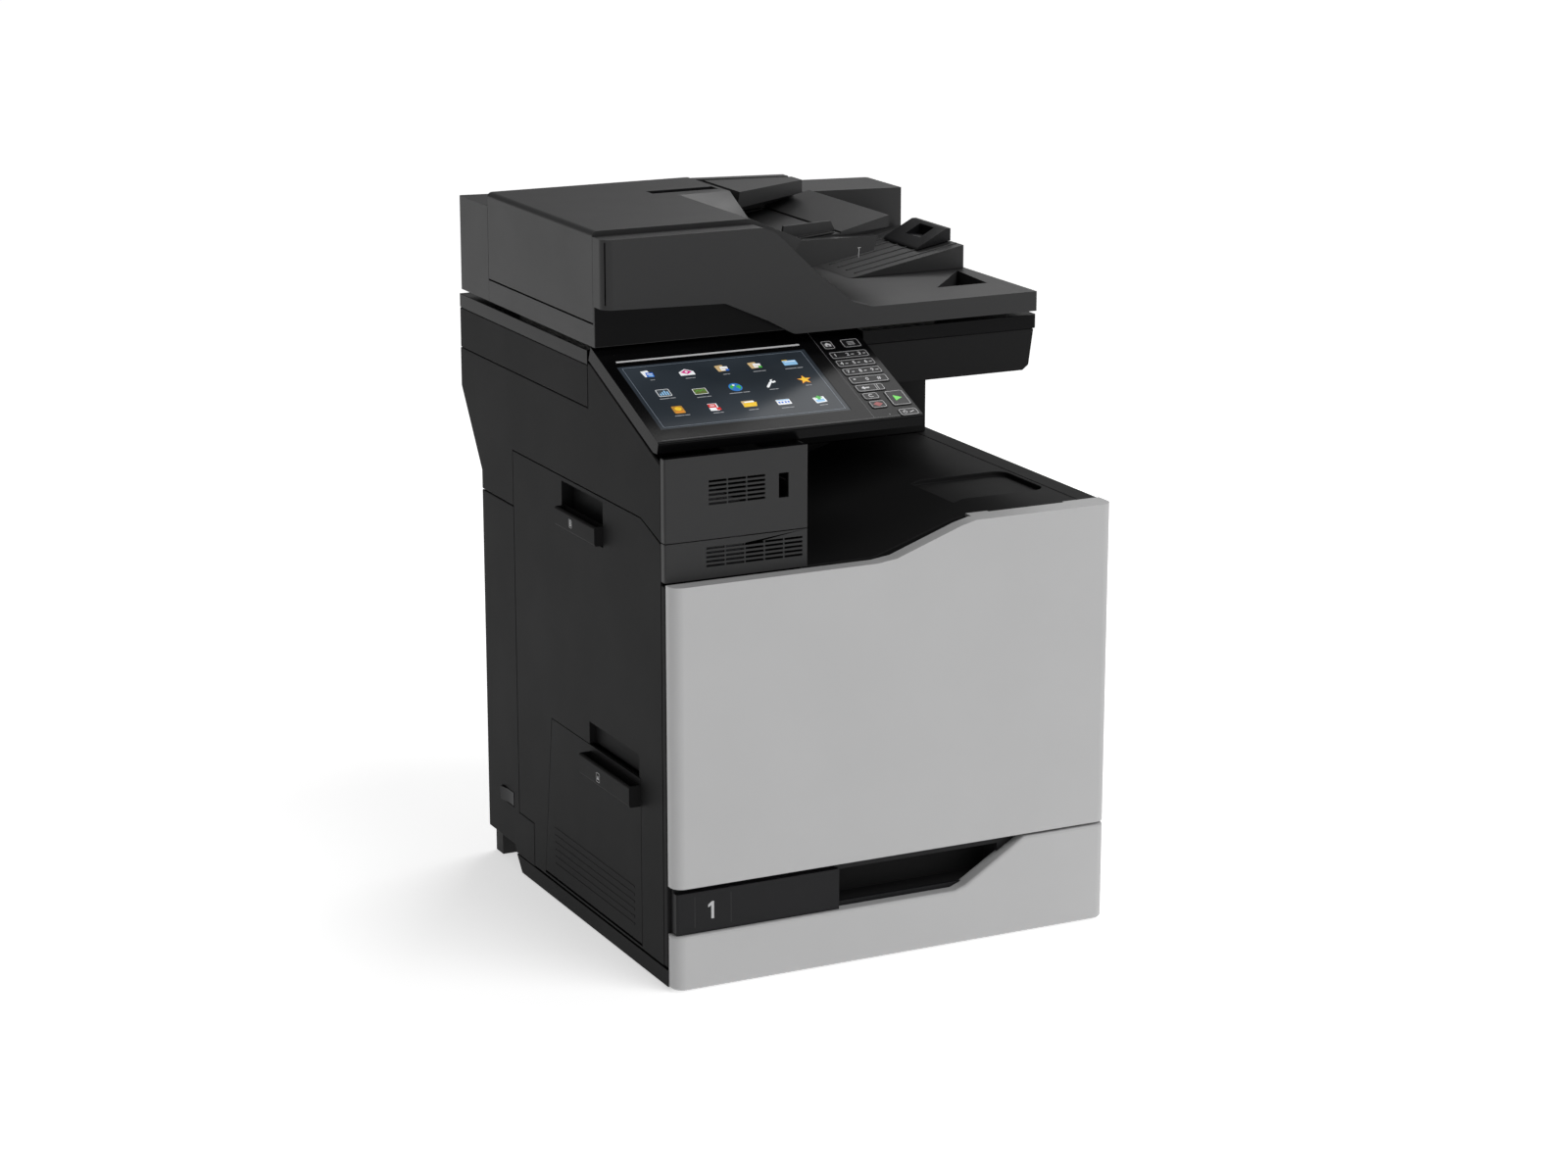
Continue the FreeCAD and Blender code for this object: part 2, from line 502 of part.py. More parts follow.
def build_front_door():
    face = [("0", "door_low"), ("width", "door_low"), ("width", "door_top"), ("dip_rise + 10", "door_top"),
            ("dip_rise - 10", "door_top - 5"), ("dip_end + 12", "door_side_top + 3"),
            ("dip_end - 12", "door_side_top"), ("0", "door_side_top")]
    slab = prism("door_slab", "Y", ("0", "door_depth"), face)
    slab = rounded("door_round", slab, SIZES["corner"] - 0.5, runs("Z", (-1, -1, 0), (560, 1, 999)))
    inner = [("wall + 1", "door_low + wall"), ("width - wall - 1", "door_low + wall"),
             ("width - wall - 1", "door_top - wall"), ("dip_rise", "door_top - wall - 2"),
             ("dip_end", "door_side_top - wall"), ("wall + 1", "door_side_top - wall")]
    hollow = prism("door_hollow", "Y", ("wall", "door_depth + 1"), inner)
    hollow = rounded("door_hollow_round", hollow, 10, runs("Z", (0, 2, 0), (560, 4, 999)))
    notches = [box("door_notch_%d" % index, (x + " - 7", x), ("wall", "door_depth + 1"),
                   ("door_low - 1", "door_low + 4")) for index, x in enumerate(DOOR_EARS)]
    shell = cut("door_shell", slab, [hollow] + notches)
    lip = box("door_lip", ("dip_rise + 14", "width"), ("door_depth - 1", "door_lip"), ("door_top - wall", "door_top"))
    edge = box("door_right_return", ("width - wall", "width"), ("door_depth - 1", "door_lip"),
               ("door_low + 30", "door_top"))
    catch = box("door_catch", ("410", "510"), ("door_lip - 4", "door_lip + 1"), ("door_top - 2", "door_top + 1"))
    top = cut("door_lip_catch", lip, [catch])
    ears = [rod("door_ear_%d" % index, "X", (x, "door_hinge_y", "door_hinge_z"), "24", "5")
            for index, x in enumerate(DOOR_EARS)]
    bores = [rod("door_bore_%d" % index, "X", (x + " - 10", "door_hinge_y", "door_hinge_z"), "40", "2.55")
             for index, x in enumerate(DOOR_EARS)]
    node(cut("front_door_bored", join("front_door_all", [shell, top, edge] + ears), bores), "front_door")


def build_hinge_pins():
    """Every pin that is fixed to the machine, each with the bracket that holds it."""
    pins = []
    for index, x in enumerate(DOOR_EARS):
        pin = rod("door_pin_%d" % index, "X", (x + " - 4", "door_hinge_y", "door_hinge_z"), "26", "2.5")
        arm = box("door_pin_arm_%d" % index, (x + " - 4", x + " - 1"), ("door_hinge_y - 1.5", "frame_front"),
                  ("door_hinge_z - 2", "door_hinge_z + 2"))
        pins.append(join("door_pin_set_%d" % index, [pin, arm]))
    for index, y in enumerate(DOOR_B_EARS):
        pin = rod("side_pin_%d" % index, "Y", ("hinge_b_x", y + " - 4", "hinge_b_z"), "16", "2")
        arm = box("side_pin_arm_%d" % index, ("hinge_b_x - 1", "hinge_b_x + 6"), (y + " - 4", y + " - 1"),
                  ("hinge_b_z - 2", "hinge_b_z + 2"))
        leg = box("side_pin_leg_%d" % index, ("hinge_b_x + 3.5", "hinge_b_x + 6"), (y + " - 4", y + " - 1"),
                  ("skirt_low + wall", "hinge_b_z"))
        pins.append(join("side_pin_set_%d" % index, [pin, arm, leg]))
    for index, x in enumerate(LID_EARS):
        pin = rod("lid_pin_%d" % index, "X", (x + " - 8", "lid_hinge_y", "lid_hinge_z"), "34", "2.5")
        arm = box("lid_pin_arm_%d" % index, (x, x + " + 18"), ("lid_hinge_y - 4", "lid_hinge_y + 4"),
                  ("band_top", "lid_hinge_z"))
        pins.append(join("lid_pin_set_%d" % index, [pin, arm]))
    node(group("pins", pins), "hinge_pins")


def build_tray():
    face = [("0", "skirt_low"), ("width", "skirt_low"), ("width", "tray_top"), ("tray_step_end", "tray_top"),
            ("tray_step_start", "tray_low_top + 5"), ("tray_step_start - 14", "tray_low_top"),
            ("0", "tray_low_top")]
    slab = prism("tray_slab", "Y", ("0", "tray_fascia_depth"), face)
    slab = rounded("tray_round", slab, SIZES["corner"] - 0.5, runs("Z", (-1, -1, 0), (560, 1, 999)))
    inner = [("4", "skirt_low + 4"), ("width - 4", "skirt_low + 4"), ("width - 4", "tray_top - 4"),
             ("tray_step_end + 2", "tray_top - 4"), ("tray_step_start + 2", "tray_low_top + 1"),
             ("tray_step_start - 14", "tray_low_top - 4"), ("4", "tray_low_top - 4")]
    hollow = prism("tray_hollow", "Y", ("4", "tray_fascia_depth + 1"), inner)
    node(cut("tray_front", slab, [hollow]), "tray_fascia")

    back = [("4", "tray_low_top + 0.4"), ("tray_step_start - 14", "tray_low_top + 0.4"),
            ("tray_step_start - 0.5", "tray_low_top + 5.6"), ("tray_step_end - 0.5", "tray_top"), ("4", "tray_top")]
    plate = prism("handle_back", "Y", ("14", "tray_fascia_depth"), back)
    face = box("handle_face", ("4", "label_end + 128"), ("5", "15"), ("tray_low_top + 0.4", "tray_top - 4"))
    face = rounded("handle_face_soft", face, 3, runs("Z", (3, 4, 0), (5, 6, 999)))
    pocket = box("handle_pocket", ("pocket_x + 6", "tray_step_end - 30"), ("13", "tray_fascia_depth + 1"),
                 ("pocket_low", "pocket_high"))
    node(cut("handle_panel", join("handle_solid", [plate, face]), [pocket]), "tray_handle_panel")

    outer = box("tray_outer", ("tray_left", "tray_right"), ("tray_fascia_depth", "tray_length"),
                ("tray_box_low", "tray_box_top"))
    inner = box("tray_inner", ("tray_left + wall", "tray_right - wall"), ("tray_fascia_depth + 34", "tray_length - wall"),
                ("tray_box_low + wall", "tray_box_top + 1"))
    grip = box("tray_grip", ("pocket_x + 6", "tray_step_end - 30"), ("tray_fascia_depth - 1", "tray_fascia_depth + 26"),
               ("pocket_low", "pocket_high + 5"))
    node(cut("tray_shell", outer, [inner, grip]), "tray_box")

    plate = box("lift_plate", ("40", "width - 70"), ("90", "420"), ("17", "18.5"))
    notches = [box("lift_notch_%d" % index, ("150", "330"), (y, y + " + 100"), ("16", "20"))
               for index, y in enumerate(("89", "321"))]
    node(cut("lift", plate, notches), "tray_lift_plate")

    for label, y in (("tray_guide_front", 98), ("tray_guide_rear", 404)):
        fence = box(label + "_fence", ("170", "310"), (str(y), str(y + 3)), ("24", "86"))
        rail = box(label + "_rail", ("200", "280"), (str(y - 9), str(y + 12)), ("21", "25"))
        node(join(label + "_all", [fence, rail]), label)


# ---------------------------------------------------------------- side door and feeder door

def build_door_b():
    outline = [("door_b_front", "door_b_low"), ("door_b_step_y", "door_b_low"),
               ("door_b_step_y", "door_b_step_z"), ("door_b_back", "door_b_step_z"),
               ("door_b_back", "door_b_top"), ("84", "door_b_top"), ("door_b_front", "516")]
    panel = prism("door_b_plate", "X", ("0", "wall"), outline)
    window = prism("door_b_window", "X", ("-1", "wall + 1"), [
        ("mp_front - gap", "mp_low - 3"), ("mp_back + gap", "mp_low - 3"), ("mp_back_top + gap", "mp_top + gap"),
        ("mp_front - gap", "mp_top + gap")])
    scoop_line = [("mp_front + 3", "mp_top"), ("mp_grip_back", "mp_top"), ("205", "257"), ("120", "257"),
                  ("mp_front + 3", "246")]
    scoop = prism("door_b_scoop", "X", ("-1", "wall + 1"), scoop_line)
    scoop_box = box("scoop_case", ("wall - 1", "11"), ("mp_front", "mp_grip_back + 3"), ("mp_top + gap", "260"))
    scoop_in = box("scoop_inside", ("-1", "9"), ("mp_front + 3", "mp_grip_back"), ("mp_top - 1", "257"))
    cup = box("cup_case", ("wall - 1", "18"), ("grip_b_front - 4", "grip_b_back + 4"),
              ("grip_b_low - 4", "grip_b_top + 3"))
    cup_in = box("cup_inside", ("-1", "16"), ("grip_b_front - 1.5", "grip_b_back + 1.5"),
                 ("grip_b_low - 1.5", "grip_b_top"))
    ears = [rod("door_b_ear_%d" % index, "Y", ("hinge_b_x", y, "hinge_b_z"), "12", "4.5")
            for index, y in enumerate(DOOR_B_EARS)]
    bores = [rod("door_b_bore_%d" % index, "Y", ("hinge_b_x", y + " - 6", "hinge_b_z"), "24", "2.05")
             for index, y in enumerate(DOOR_B_EARS)]
    roots = []
    for index, (start, root) in enumerate((("mp_front - 6", "mp_front - 7"), ("mp_back - 10", "mp_back + 2"))):
        roots.append(rod("mp_pin_%d" % index, "Y", ("mp_hinge_x", start, "mp_hinge_z"), "14", "1.8"))
        roots.append(box("mp_pin_root_%d" % index, ("wall - 1", "mp_hinge_x + 3"), (root, root + " + 5"),
                         ("mp_hinge_z - 4", "mp_hinge_z + 4")))
    solid = join("door_b_solid", [panel, scoop_box, cup] + ears)
    opened = cut("door_b_open", solid, [window, scoop, scoop_in, cup_in] + bores)
    node(join("door_b_all", [opened] + roots), "side_door")

    grip = box("grip_b_block", ("0 - grip_b_out", "4"), ("grip_b_front + 0.5", "grip_b_back - 0.5"),
               ("grip_b_low + 0.5", "grip_b_high"))
    grip = rounded("grip_b_soft", grip, 3, runs("Y", (-11, 0, 470), (-9, 999, 501)))
    hollow = box("grip_b_hollow", ("3 - grip_b_out", "2"), ("grip_b_front + 4", "grip_b_back - 4"),
                 ("grip_b_low + 6", "grip_b_high + 1"))
    bore = rod("grip_b_bore", "Y", ("2", "grip_b_front - 1", "grip_b_low + 2"), "grip_b_back - grip_b_front + 2", "1")
    node(cut("grip_b", grip, [hollow, bore]), "side_door_handle")

    outline = [("mp_front", "mp_low"), ("mp_back", "mp_low"), ("mp_back_top", "mp_top"), ("mp_front", "mp_top")]
    panel = prism("mp_plate", "X", ("0", "wall"), outline)
    ribs = [box("mp_rib_%d" % index, ("-0.4", "0.5"), ("112", "345"), (str(47 + 9 * index), str(49.5 + 9 * index)))
            for index in range(6)]
    grip = box("mp_grip", ("0 - mp_grip_out", "1"), ("mp_front + 1", "mp_grip_back"), ("mp_grip_z", "mp_grip_top"))
    grip = rounded("mp_grip_soft", grip, 3, runs("Y", (-15, 0, 190), (-13, 999, 230)))
    grip = cut("mp_grip_open", grip, [box("mp_grip_hollow", ("3 - mp_grip_out", "-1"),
                                          ("mp_front + 4", "mp_grip_back - 3"), ("mp_grip_z + 5", "mp_grip_top + 1"))])
    rails = [box("mp_rail_%d" % index, ("wall - 1", "17"), (y, y + " + 2.5"), ("60", "215"))
             for index, y in enumerate(("110", "341.5"))]
    ears = [rod("mp_ear_%d" % index, "Y", ("mp_hinge_x", y, "mp_hinge_z"), "7", "4")
            for index, y in enumerate(("mp_front + 1", "mp_back - 9"))]
    bores = [rod("mp_bore_%d" % index, "Y", ("mp_hinge_x", y, "mp_hinge_z"), "20", "1.85")
             for index, y in enumerate(("mp_front - 8", "mp_back - 11"))]
    solid = join("mp_solid", [panel, grip] + ribs + rails + ears)
    node(cut("mp_all", solid, bores), "feeder_door")

    plate = box("extension_plate", ("12.5", "15"), ("113.5", "340.5"), ("58", "222"))
    slot = box("extension_slot", ("12", "16"), ("160", "294"), ("90", "180"))
    node(cut("extension", plate, [slot]), "feeder_extension")

    rocker = prism("rocker", "Z", ("rocker_z - 8.4", "rocker_z + 8.4"), [
        ("0", "rocker_y - 17.4"), ("0", "rocker_y"), ("-3.65", "rocker_y + 17"), ("7", "rocker_y + 16"),
        ("7", "rocker_y - 16")])
    bore = rod("rocker_bore", "Z", ("6", "rocker_y", "rocker_z - 9"), "18", "0.8")
    node(cut("rocker_bored", rocker, [bore]), "power_rocker")


# ---------------------------------------------------------------- lid and document feeder

def build_lid():
    face = [("0", "750"), ("150", "746"), ("205", "721"), ("237", "lid_low"), ("lid_right", "lid_low"),
            ("lid_right", "lid_deck"), ("338", "lid_deck"), ("312", "735"), ("264.7", "773.5"), ("214", "822"),
            ("197", "feeder_top"), ("0", "feeder_top")]
    cap = prism("cap_block", "Y", ("lid_front", "cap_back"), face)
    cap = rounded("cap_corner", cap, 12, runs("Z", (-1, 178, 740), (1, 180, 840)))
    cap = rounded("cap_curves", cap, 14, runs("Y", (140, 0, 700), (345, 999, 830)))
    hollow = box("cap_hollow", ("wall", "190"), ("lid_front + wall", "cap_back - wall"), ("755", "feeder_top - wall"))
    slab = box("lid_slab", ("0", "lid_right"), ("cap_back - 0.5", "cover_back - 0.5"), ("lid_low", "lid_deck"))
    side = box("lid_left_rise", ("0", "8"), ("cap_back - 0.5", "cover_back - 0.5"), ("lid_deck - 1", "cover_low - 2"))
    under = box("lid_under", ("wall", "lid_right - wall"), ("cap_back + wall", "cover_back - 4"),
                ("lid_low - 1", "lid_deck - wall"))
    backing = box("inset_wall", ("0", "237"), ("cap_back - wall", "cap_back"), ("lid_low", "752"))
    case = box("triangle_case", ("456", "lid_right - 1"), ("246", "348"), ("lid_low", "lid_deck - 1"))
    opening = prism("deck_triangle", "Z", ("lid_low + wall", "lid_deck + 1"),
                    [("462", "252"), ("530", "252"), ("538", "340")])
    shell = join("lid_shell", [cut("cap_open", cap, [hollow]), cut("lid_open", slab, [under]), side, backing, case])
    node(cut("lid_all", shell, [opening]), "feeder_base")

    pad = box("pad_block", ("36", "496"), ("244", "516"), ("band_top + 1.2", "lid_deck - wall"))
    pad = rounded("pad_soft", pad, 3, runs("Z", (0, 0, 0), (999, 999, 999)))
    corner = box("pad_corner", ("455", "500"), ("240", "349"), ("band_top", "lid_deck"))
    node(cut("pad_all", pad, [corner]), "lid_pad")

    profile = [("0", "lid_low"), ("lid_right + 1", "lid_low"), ("lid_right + 1", "802"), ("0", "818")]
    block = prism("housing_block", "Y", ("cover_back", "housing_back"), profile)
    block = rounded("housing_soft", block, 4, runs("Z", (-1, 610, 0), (560, 616, 999)))
    hollow = box("housing_hollow", ("wall", "lid_right - 2"), ("cover_back + wall", "housing_back - wall"),
                 ("lid_low - 1", "798"))
    stiff = []
    holes = []
    for index, x in enumerate(LID_EARS):
        stiff.append(box("lid_ear_%d" % index, (x + " - 12", x + " + 30"), ("lid_hinge_y - 12", "housing_back"),
                         ("lid_low", "lid_low + 18")))
        holes.append(rod("lid_notch_%d" % index, "X", (x + " - 1", "lid_hinge_y", "lid_hinge_z"), "20", "10.5"))
        holes.append(rod("lid_bore_%d" % index, "X", (x + " - 9", "lid_hinge_y", "lid_hinge_z"), "36", "2.55"))
    ridge = prism("housing_ridge", "Y", ("508", "cover_back + 1"), [
        ("cover_right + 13.5", "792"), ("392", "792"), ("392", "829.5"), ("cover_right + 13.5", "833.5")])
    shell = join("housing_shell", [cut("housing_open", block, [hollow]), ridge] + stiff)
    node(cut("housing_bored", shell, holes), "feeder_rear_housing")


def build_feeder():
    side = [("0", "cover_low"), ("cover_right", "cover_low"), ("cover_right", "790"), ("cover_right + 12", "806"),
            ("196", "cover_top"), ("0", "cover_top")]
    block = prism("cover_block", "Y", ("cap_back + seam", "cover_back - seam"), side)
    block = rounded("cover_soft", block, 6, runs("Y", (-1, 0, 834), (200, 999, 836)))
    inner = box("cover_inner", ("wall", "cover_right - wall"), ("cap_back + seam + wall", "cover_back - seam - wall"),
                ("cover_low - 1", "785"))
    upper = box("cover_upper", ("wall", "168"), ("cap_back + seam + wall", "cover_back - seam - wall"),
                ("780", "cover_top - wall"))
    mouth = box("cover_mouth", ("198", "cover_right + 20"), ("240", "500"), ("738", "797"))
    ridge = prism("cover_ridge", "X", ("190", "cover_right + 12"), [
        ("352", "800"), ("cover_back - seam", "800"), ("cover_back - seam", "cover_top"), ("402", "cover_top"),
        ("352", "810")])
    grip = box("cover_grip", ("171", "257"), ("423", "443"), ("822", "cover_top + 1"))
    pins = [rod("cover_pin_%d" % index, "Y", ("3", y, "734"), "6", "2")
            for index, y in enumerate(("cap_back + seam", "cover_back - seam - 6"))]
    solid = cut("cover_open", join("cover_solid", [block, ridge]), [inner, upper, mouth, grip])
    node(join("cover", [solid] + pins), "feeder_cover")

    roller = rod("pick_tube", "Y", ("150", "330", "762"), "70", "13")
    core = rod("pick_axle", "Y", ("150", "226", "762"), "280", "4")
    bore = rod("pick_bore", "Y", ("150", "329", "762"), "72", "3.9")
    node(join("pick", [cut("pick_sleeve", roller, [bore]), core]), "pick_roller")

    wedge = prism("platform_wedge", "Y", ("platform_front", "platform_back"), [
        ("396", "lid_deck + 0.2"), ("platform_right", "lid_deck + 0.2"), ("platform_right", "756")])
    ribs = []
    for index in range(7):
        y = "platform_front + %d" % (14 + 22 * index)
        ribs.append(prism("platform_rib_%d" % index, "Y", (y, y + " + 2"), [
            ("410", "729.5"), ("platform_right - 2", "755.5"), ("platform_right - 2", "757"), ("410", "731")]))
    node(join("platform", [wedge] + ribs), "output_platform")

    floor = prism("input_floor", "Y", ("tray_front", "503"), [
        ("266", "783"), ("416", "797"), ("416", "800"), ("266", "786")])
    wall = prism("input_wall", "Y", ("tray_front - 14", "tray_front"), [
        ("266", "752"), ("391", "773"), ("396", "790"), ("266", "792")])
    wing = prism("input_wing", "Y", ("tray_front", "503"), [
        ("354", "792"), ("418", "797.5"), ("418", "811"), ("354", "796")])
    hood = prism("input_hood", "Z", ("813", "833"), [("271", "402"), ("396", "478"), ("396", "506.5"), ("271", "506.5")])
    slant = prism("input_hood_slant", "Y", ("400", "508"), [
        ("270", "812"), ("271.5", "812"), ("277", "832"), ("397", "828.5"), ("397", "835"), ("270", "835")])
    back = box("input_back", ("280", "396"), ("502.5", "506.5"), ("796", "814"))
    bore = rod("input_bore", "Y", ("267", "tray_front - 15", "784"), "230", "0.6")
    solid = join("input_tray_all", [floor, wall, wing, back, cut("input_hood_cut", hood, [slant])])
    node(cut("input_bored", solid, [bore]), "input_tray")

    for label, y in (("paper_guide_front", 302), ("paper_guide_rear", 490)):
        fence = prism(label + "_fence", "Y", (str(y), str(y + 4)), [
            ("280", "788.2"), ("352", "795"), ("346", "808"), ("284", "806")])
        foot = prism(label + "_foot", "Y", (str(y - 8), str(y + 12)), [
            ("290", "789.1"), ("345", "794.3"), ("345", "796.3"), ("290", "791.1")])
        node(join(label + "_all", [fence, foot]), label)

    wedge = prism("stop_wedge", "Y", ("380", "469"), [
        ("504", "748.6"), ("550", "757.2"), ("550", "772"), ("544", "772"), ("506", "752")])
    pocket = box("stop_pocket", ("520", "540"), ("404", "440"), ("758", "775"))
    bore = rod("stop_bore", "Y", ("549", "379", "758.5"), "91", "0.8")
    node(cut("stop", wedge, [pocket, bore]), "paper_stop")


build_base()
build_frame()
build_right_and_rear()
build_left()
build_exit_block()
build_bin()
build_inside()
build_scanner()
build_panel()
build_front_door()
build_hinge_pins()
build_tray()
build_door_b()
build_lid()
build_feeder()
doc.recompute()

failed = [item.Name for item in doc.Objects if "Invalid" in item.State or "Error" in item.State]
if failed:
    raise RuntimeError("these failed: " + ", ".join(failed))
broken = [piece.Label for piece in NODES
          if piece.Shape.isNull() or not piece.Shape.isValid() or not piece.Shape.Solids]
if broken:
    raise RuntimeError("these have no valid solid: " + ", ".join(broken))

os.makedirs("parts", exist_ok=True)
for piece in NODES:
    piece.Shape.exportStep("parts/%s.step" % piece.Label)
print(len(NODES), "nodes")
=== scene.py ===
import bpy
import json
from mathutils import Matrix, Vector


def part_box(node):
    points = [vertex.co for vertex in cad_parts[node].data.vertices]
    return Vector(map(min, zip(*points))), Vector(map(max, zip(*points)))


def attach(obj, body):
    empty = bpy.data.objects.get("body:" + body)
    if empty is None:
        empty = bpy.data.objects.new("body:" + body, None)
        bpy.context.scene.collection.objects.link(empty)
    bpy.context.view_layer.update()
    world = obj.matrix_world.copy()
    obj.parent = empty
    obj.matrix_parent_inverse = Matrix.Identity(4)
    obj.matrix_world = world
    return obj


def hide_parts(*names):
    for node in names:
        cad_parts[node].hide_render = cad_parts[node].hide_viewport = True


bl_info = {
    "name": "Office copier",
    "version": (1, 0, 0),
    "blender": (4, 5, 0),
    "location": "View3D > Sidebar > Copier",
    "description": "Builds the looks of an office colour copier around its fixed CAD frame",
    "category": "Object",
}

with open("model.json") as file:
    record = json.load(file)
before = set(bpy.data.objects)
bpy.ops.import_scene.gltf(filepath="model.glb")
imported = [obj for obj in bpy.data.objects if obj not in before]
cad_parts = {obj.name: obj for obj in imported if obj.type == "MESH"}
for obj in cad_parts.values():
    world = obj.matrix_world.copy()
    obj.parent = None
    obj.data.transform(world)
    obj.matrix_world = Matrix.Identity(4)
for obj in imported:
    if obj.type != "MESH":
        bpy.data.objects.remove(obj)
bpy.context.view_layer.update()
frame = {"nodes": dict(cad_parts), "record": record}

import json
import math

import bpy
from bpy.props import FloatProperty, FloatVectorProperty, PointerProperty
from mathutils import Euler, Matrix, Vector

MM = 0.001

# Heights in the finishes' relief, and the scales of two of their patterns.
PEBBLE_HEIGHT = 0.1 * MM
DIMPLE_DEPTH = 0.2 * MM
ACROSS_THE_STREAKS = 900
WALLPAPER_SCALE = 5

# Prints are thin plates, in millimetres, that stand a little proud of the face they lie on.
PRINT_THICK = 0.05
PROUD = 0.02 * MM
LAYER = 0.06

# Moulded edges: seams this close are welded, flats this even are merged, corners this sharp are rounded.
WELD_GAP = 0.02 * MM
FLAT_WITHIN = math.radians(0.6)
SHARP_OVER = math.radians(38)
SMOOTH_UNDER = math.radians(32)

# The body that each CAD node rides on, and the finish that the record gives it.
BODY_OF = {
    node: body
    for body, nodes in frame["record"]["behaviour"]["bodies"].items()
    for node in nodes
}
SLOT_OF = {part["node"]: part["material_slot"] for part in frame["record"]["subparts"]}

# The control panel's own plane: its back left top corner and its slope.
PANEL_SLOPE = math.radians(21.9)
PANEL_THICK = 17 * MM
PANEL_LOW, PANEL_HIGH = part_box("control_panel")
PANEL_CORNER = Vector((
    PANEL_LOW.x,
    PANEL_HIGH.y - PANEL_THICK * math.sin(PANEL_SLOPE),
    PANEL_HIGH.z,
))
PANEL_PLACE = Matrix.Translation(PANEL_CORNER) @ Euler((PANEL_SLOPE, 0, 0)).to_matrix().to_4x4()


class CopierFinish(bpy.types.PropertyGroup):
    shell_dark: FloatVectorProperty(
        name="Dark shell", description="Colour of the charcoal casing", subtype="COLOR",
        size=3, min=0, max=1, default=(0.016, 0.016, 0.0163))
    shell_mid: FloatVectorProperty(
        name="Grey shell", description="Colour of the feeder and of the vent block", subtype="COLOR",
        size=3, min=0, max=1, default=(0.032, 0.032, 0.0325))
    shell_light: FloatVectorProperty(
        name="Light shell", description="Colour of the front door and tray", subtype="COLOR",
        size=3, min=0, max=1, default=(0.44, 0.44, 0.442))
    trim_black: FloatVectorProperty(
        name="Black trim", description="Colour of the polished panel and band", subtype="COLOR",
        size=3, min=0, max=1, default=(0.003, 0.003, 0.0033))
    grain: FloatProperty(
        name="Grain", description="Size of the moulded texture's pebbles", subtype="DISTANCE",
        unit="LENGTH", default=0.0007, min=0.0002, max=0.005)


class CopierEdges(bpy.types.PropertyGroup):
    casing: FloatProperty(
        name="Casing edge", description="Radius on the outer edges of the covers", unit="LENGTH",
        default=0.0012, min=0.0002, max=0.006)
    door: FloatProperty(
        name="Door edge", description="Radius on the front door's outline", unit="LENGTH",
        default=0.0035, min=0.0005, max=0.01)
    detail: FloatProperty(
        name="Small edge", description="Radius on keys, guides and grips", unit="LENGTH",
        default=0.0006, min=0.0001, max=0.003)


class CopierStage(bpy.types.PropertyGroup):
    lens: FloatProperty(
        name="Lens", description="Focal length of the camera", subtype="DISTANCE_CAMERA",
        unit="CAMERA", default=84.876, min=20, max=300)
    camera_place: FloatVectorProperty(
        name="Camera place", description="Where the camera stands", subtype="TRANSLATION", unit="LENGTH",
        size=3, default=(-1.8893, -3.8509, 1.5238))
    pitch: FloatProperty(
        name="Pitch", description="How far the camera looks down", subtype="ANGLE", unit="ROTATION",
        default=math.radians(15.097))
    turn: FloatProperty(
        name="Turn", description="How far the camera looks to the right", subtype="ANGLE", unit="ROTATION",
        default=math.radians(26.30))
    key_power: FloatProperty(
        name="Key light", description="Strength of the broad light at the front right",
        default=1.25, min=0, max=50)
    fill_power: FloatProperty(
        name="Front light", description="Power of the soft box at the front right", unit="POWER",
        default=9, min=0, max=5000)
    top_power: FloatProperty(
        name="Top light", description="Power of the soft box above and behind", unit="POWER",
        default=26, min=0, max=5000)


# ------------------------------------------------------------------ materials

def new_material(name):
    """The finish of that name, emptied: the CAD frame's own slots are rebuilt in place."""
    material = bpy.data.materials.get(name) or bpy.data.materials.new(name)
    material.use_nodes = True
    material.node_tree.nodes.clear()
    return material


def effect_frame(material, label):
    """A frame that gathers the nodes of one effect."""
    group = material.node_tree.nodes.new("NodeFrame")
    group.label = label
    return group


def add_node(material, kind, label, location, group=None, inputs=None):
    """One labelled node at its place in the tree, with its unlinked inputs set."""
    node = material.node_tree.nodes.new(kind)
    node.label = label
    node.parent = group
    node.location = location
    for name, value in (inputs or {}).items():
        node.inputs[name].default_value = value
    return node


def add_surface(material, label, inputs):
    """The surface shader and the output that it feeds."""
    surface = add_node(material, "ShaderNodeBsdfPrincipled", label, (-200, 60), inputs=inputs)
    output = add_node(material, "ShaderNodeOutputMaterial", "Output", (120, 60))
    connect(material, (surface, "BSDF", output, "Surface"))
    return surface


def connect(material, *wires):
    """Link each (node, output, node, input)."""
    for source, result, target, entry in wires:
        material.node_tree.links.new(source.outputs[result], target.inputs[entry])


def set_ramp(ramp, *stops):
    for element, (position, colour) in zip(ramp.color_ramp.elements, stops):
        element.position = position
        element.color = colour


def shaded(colour, share=1.0):
    """The colour, darker or lighter by a share, with its alpha."""
    return (*[part * share for part in colour], 1)


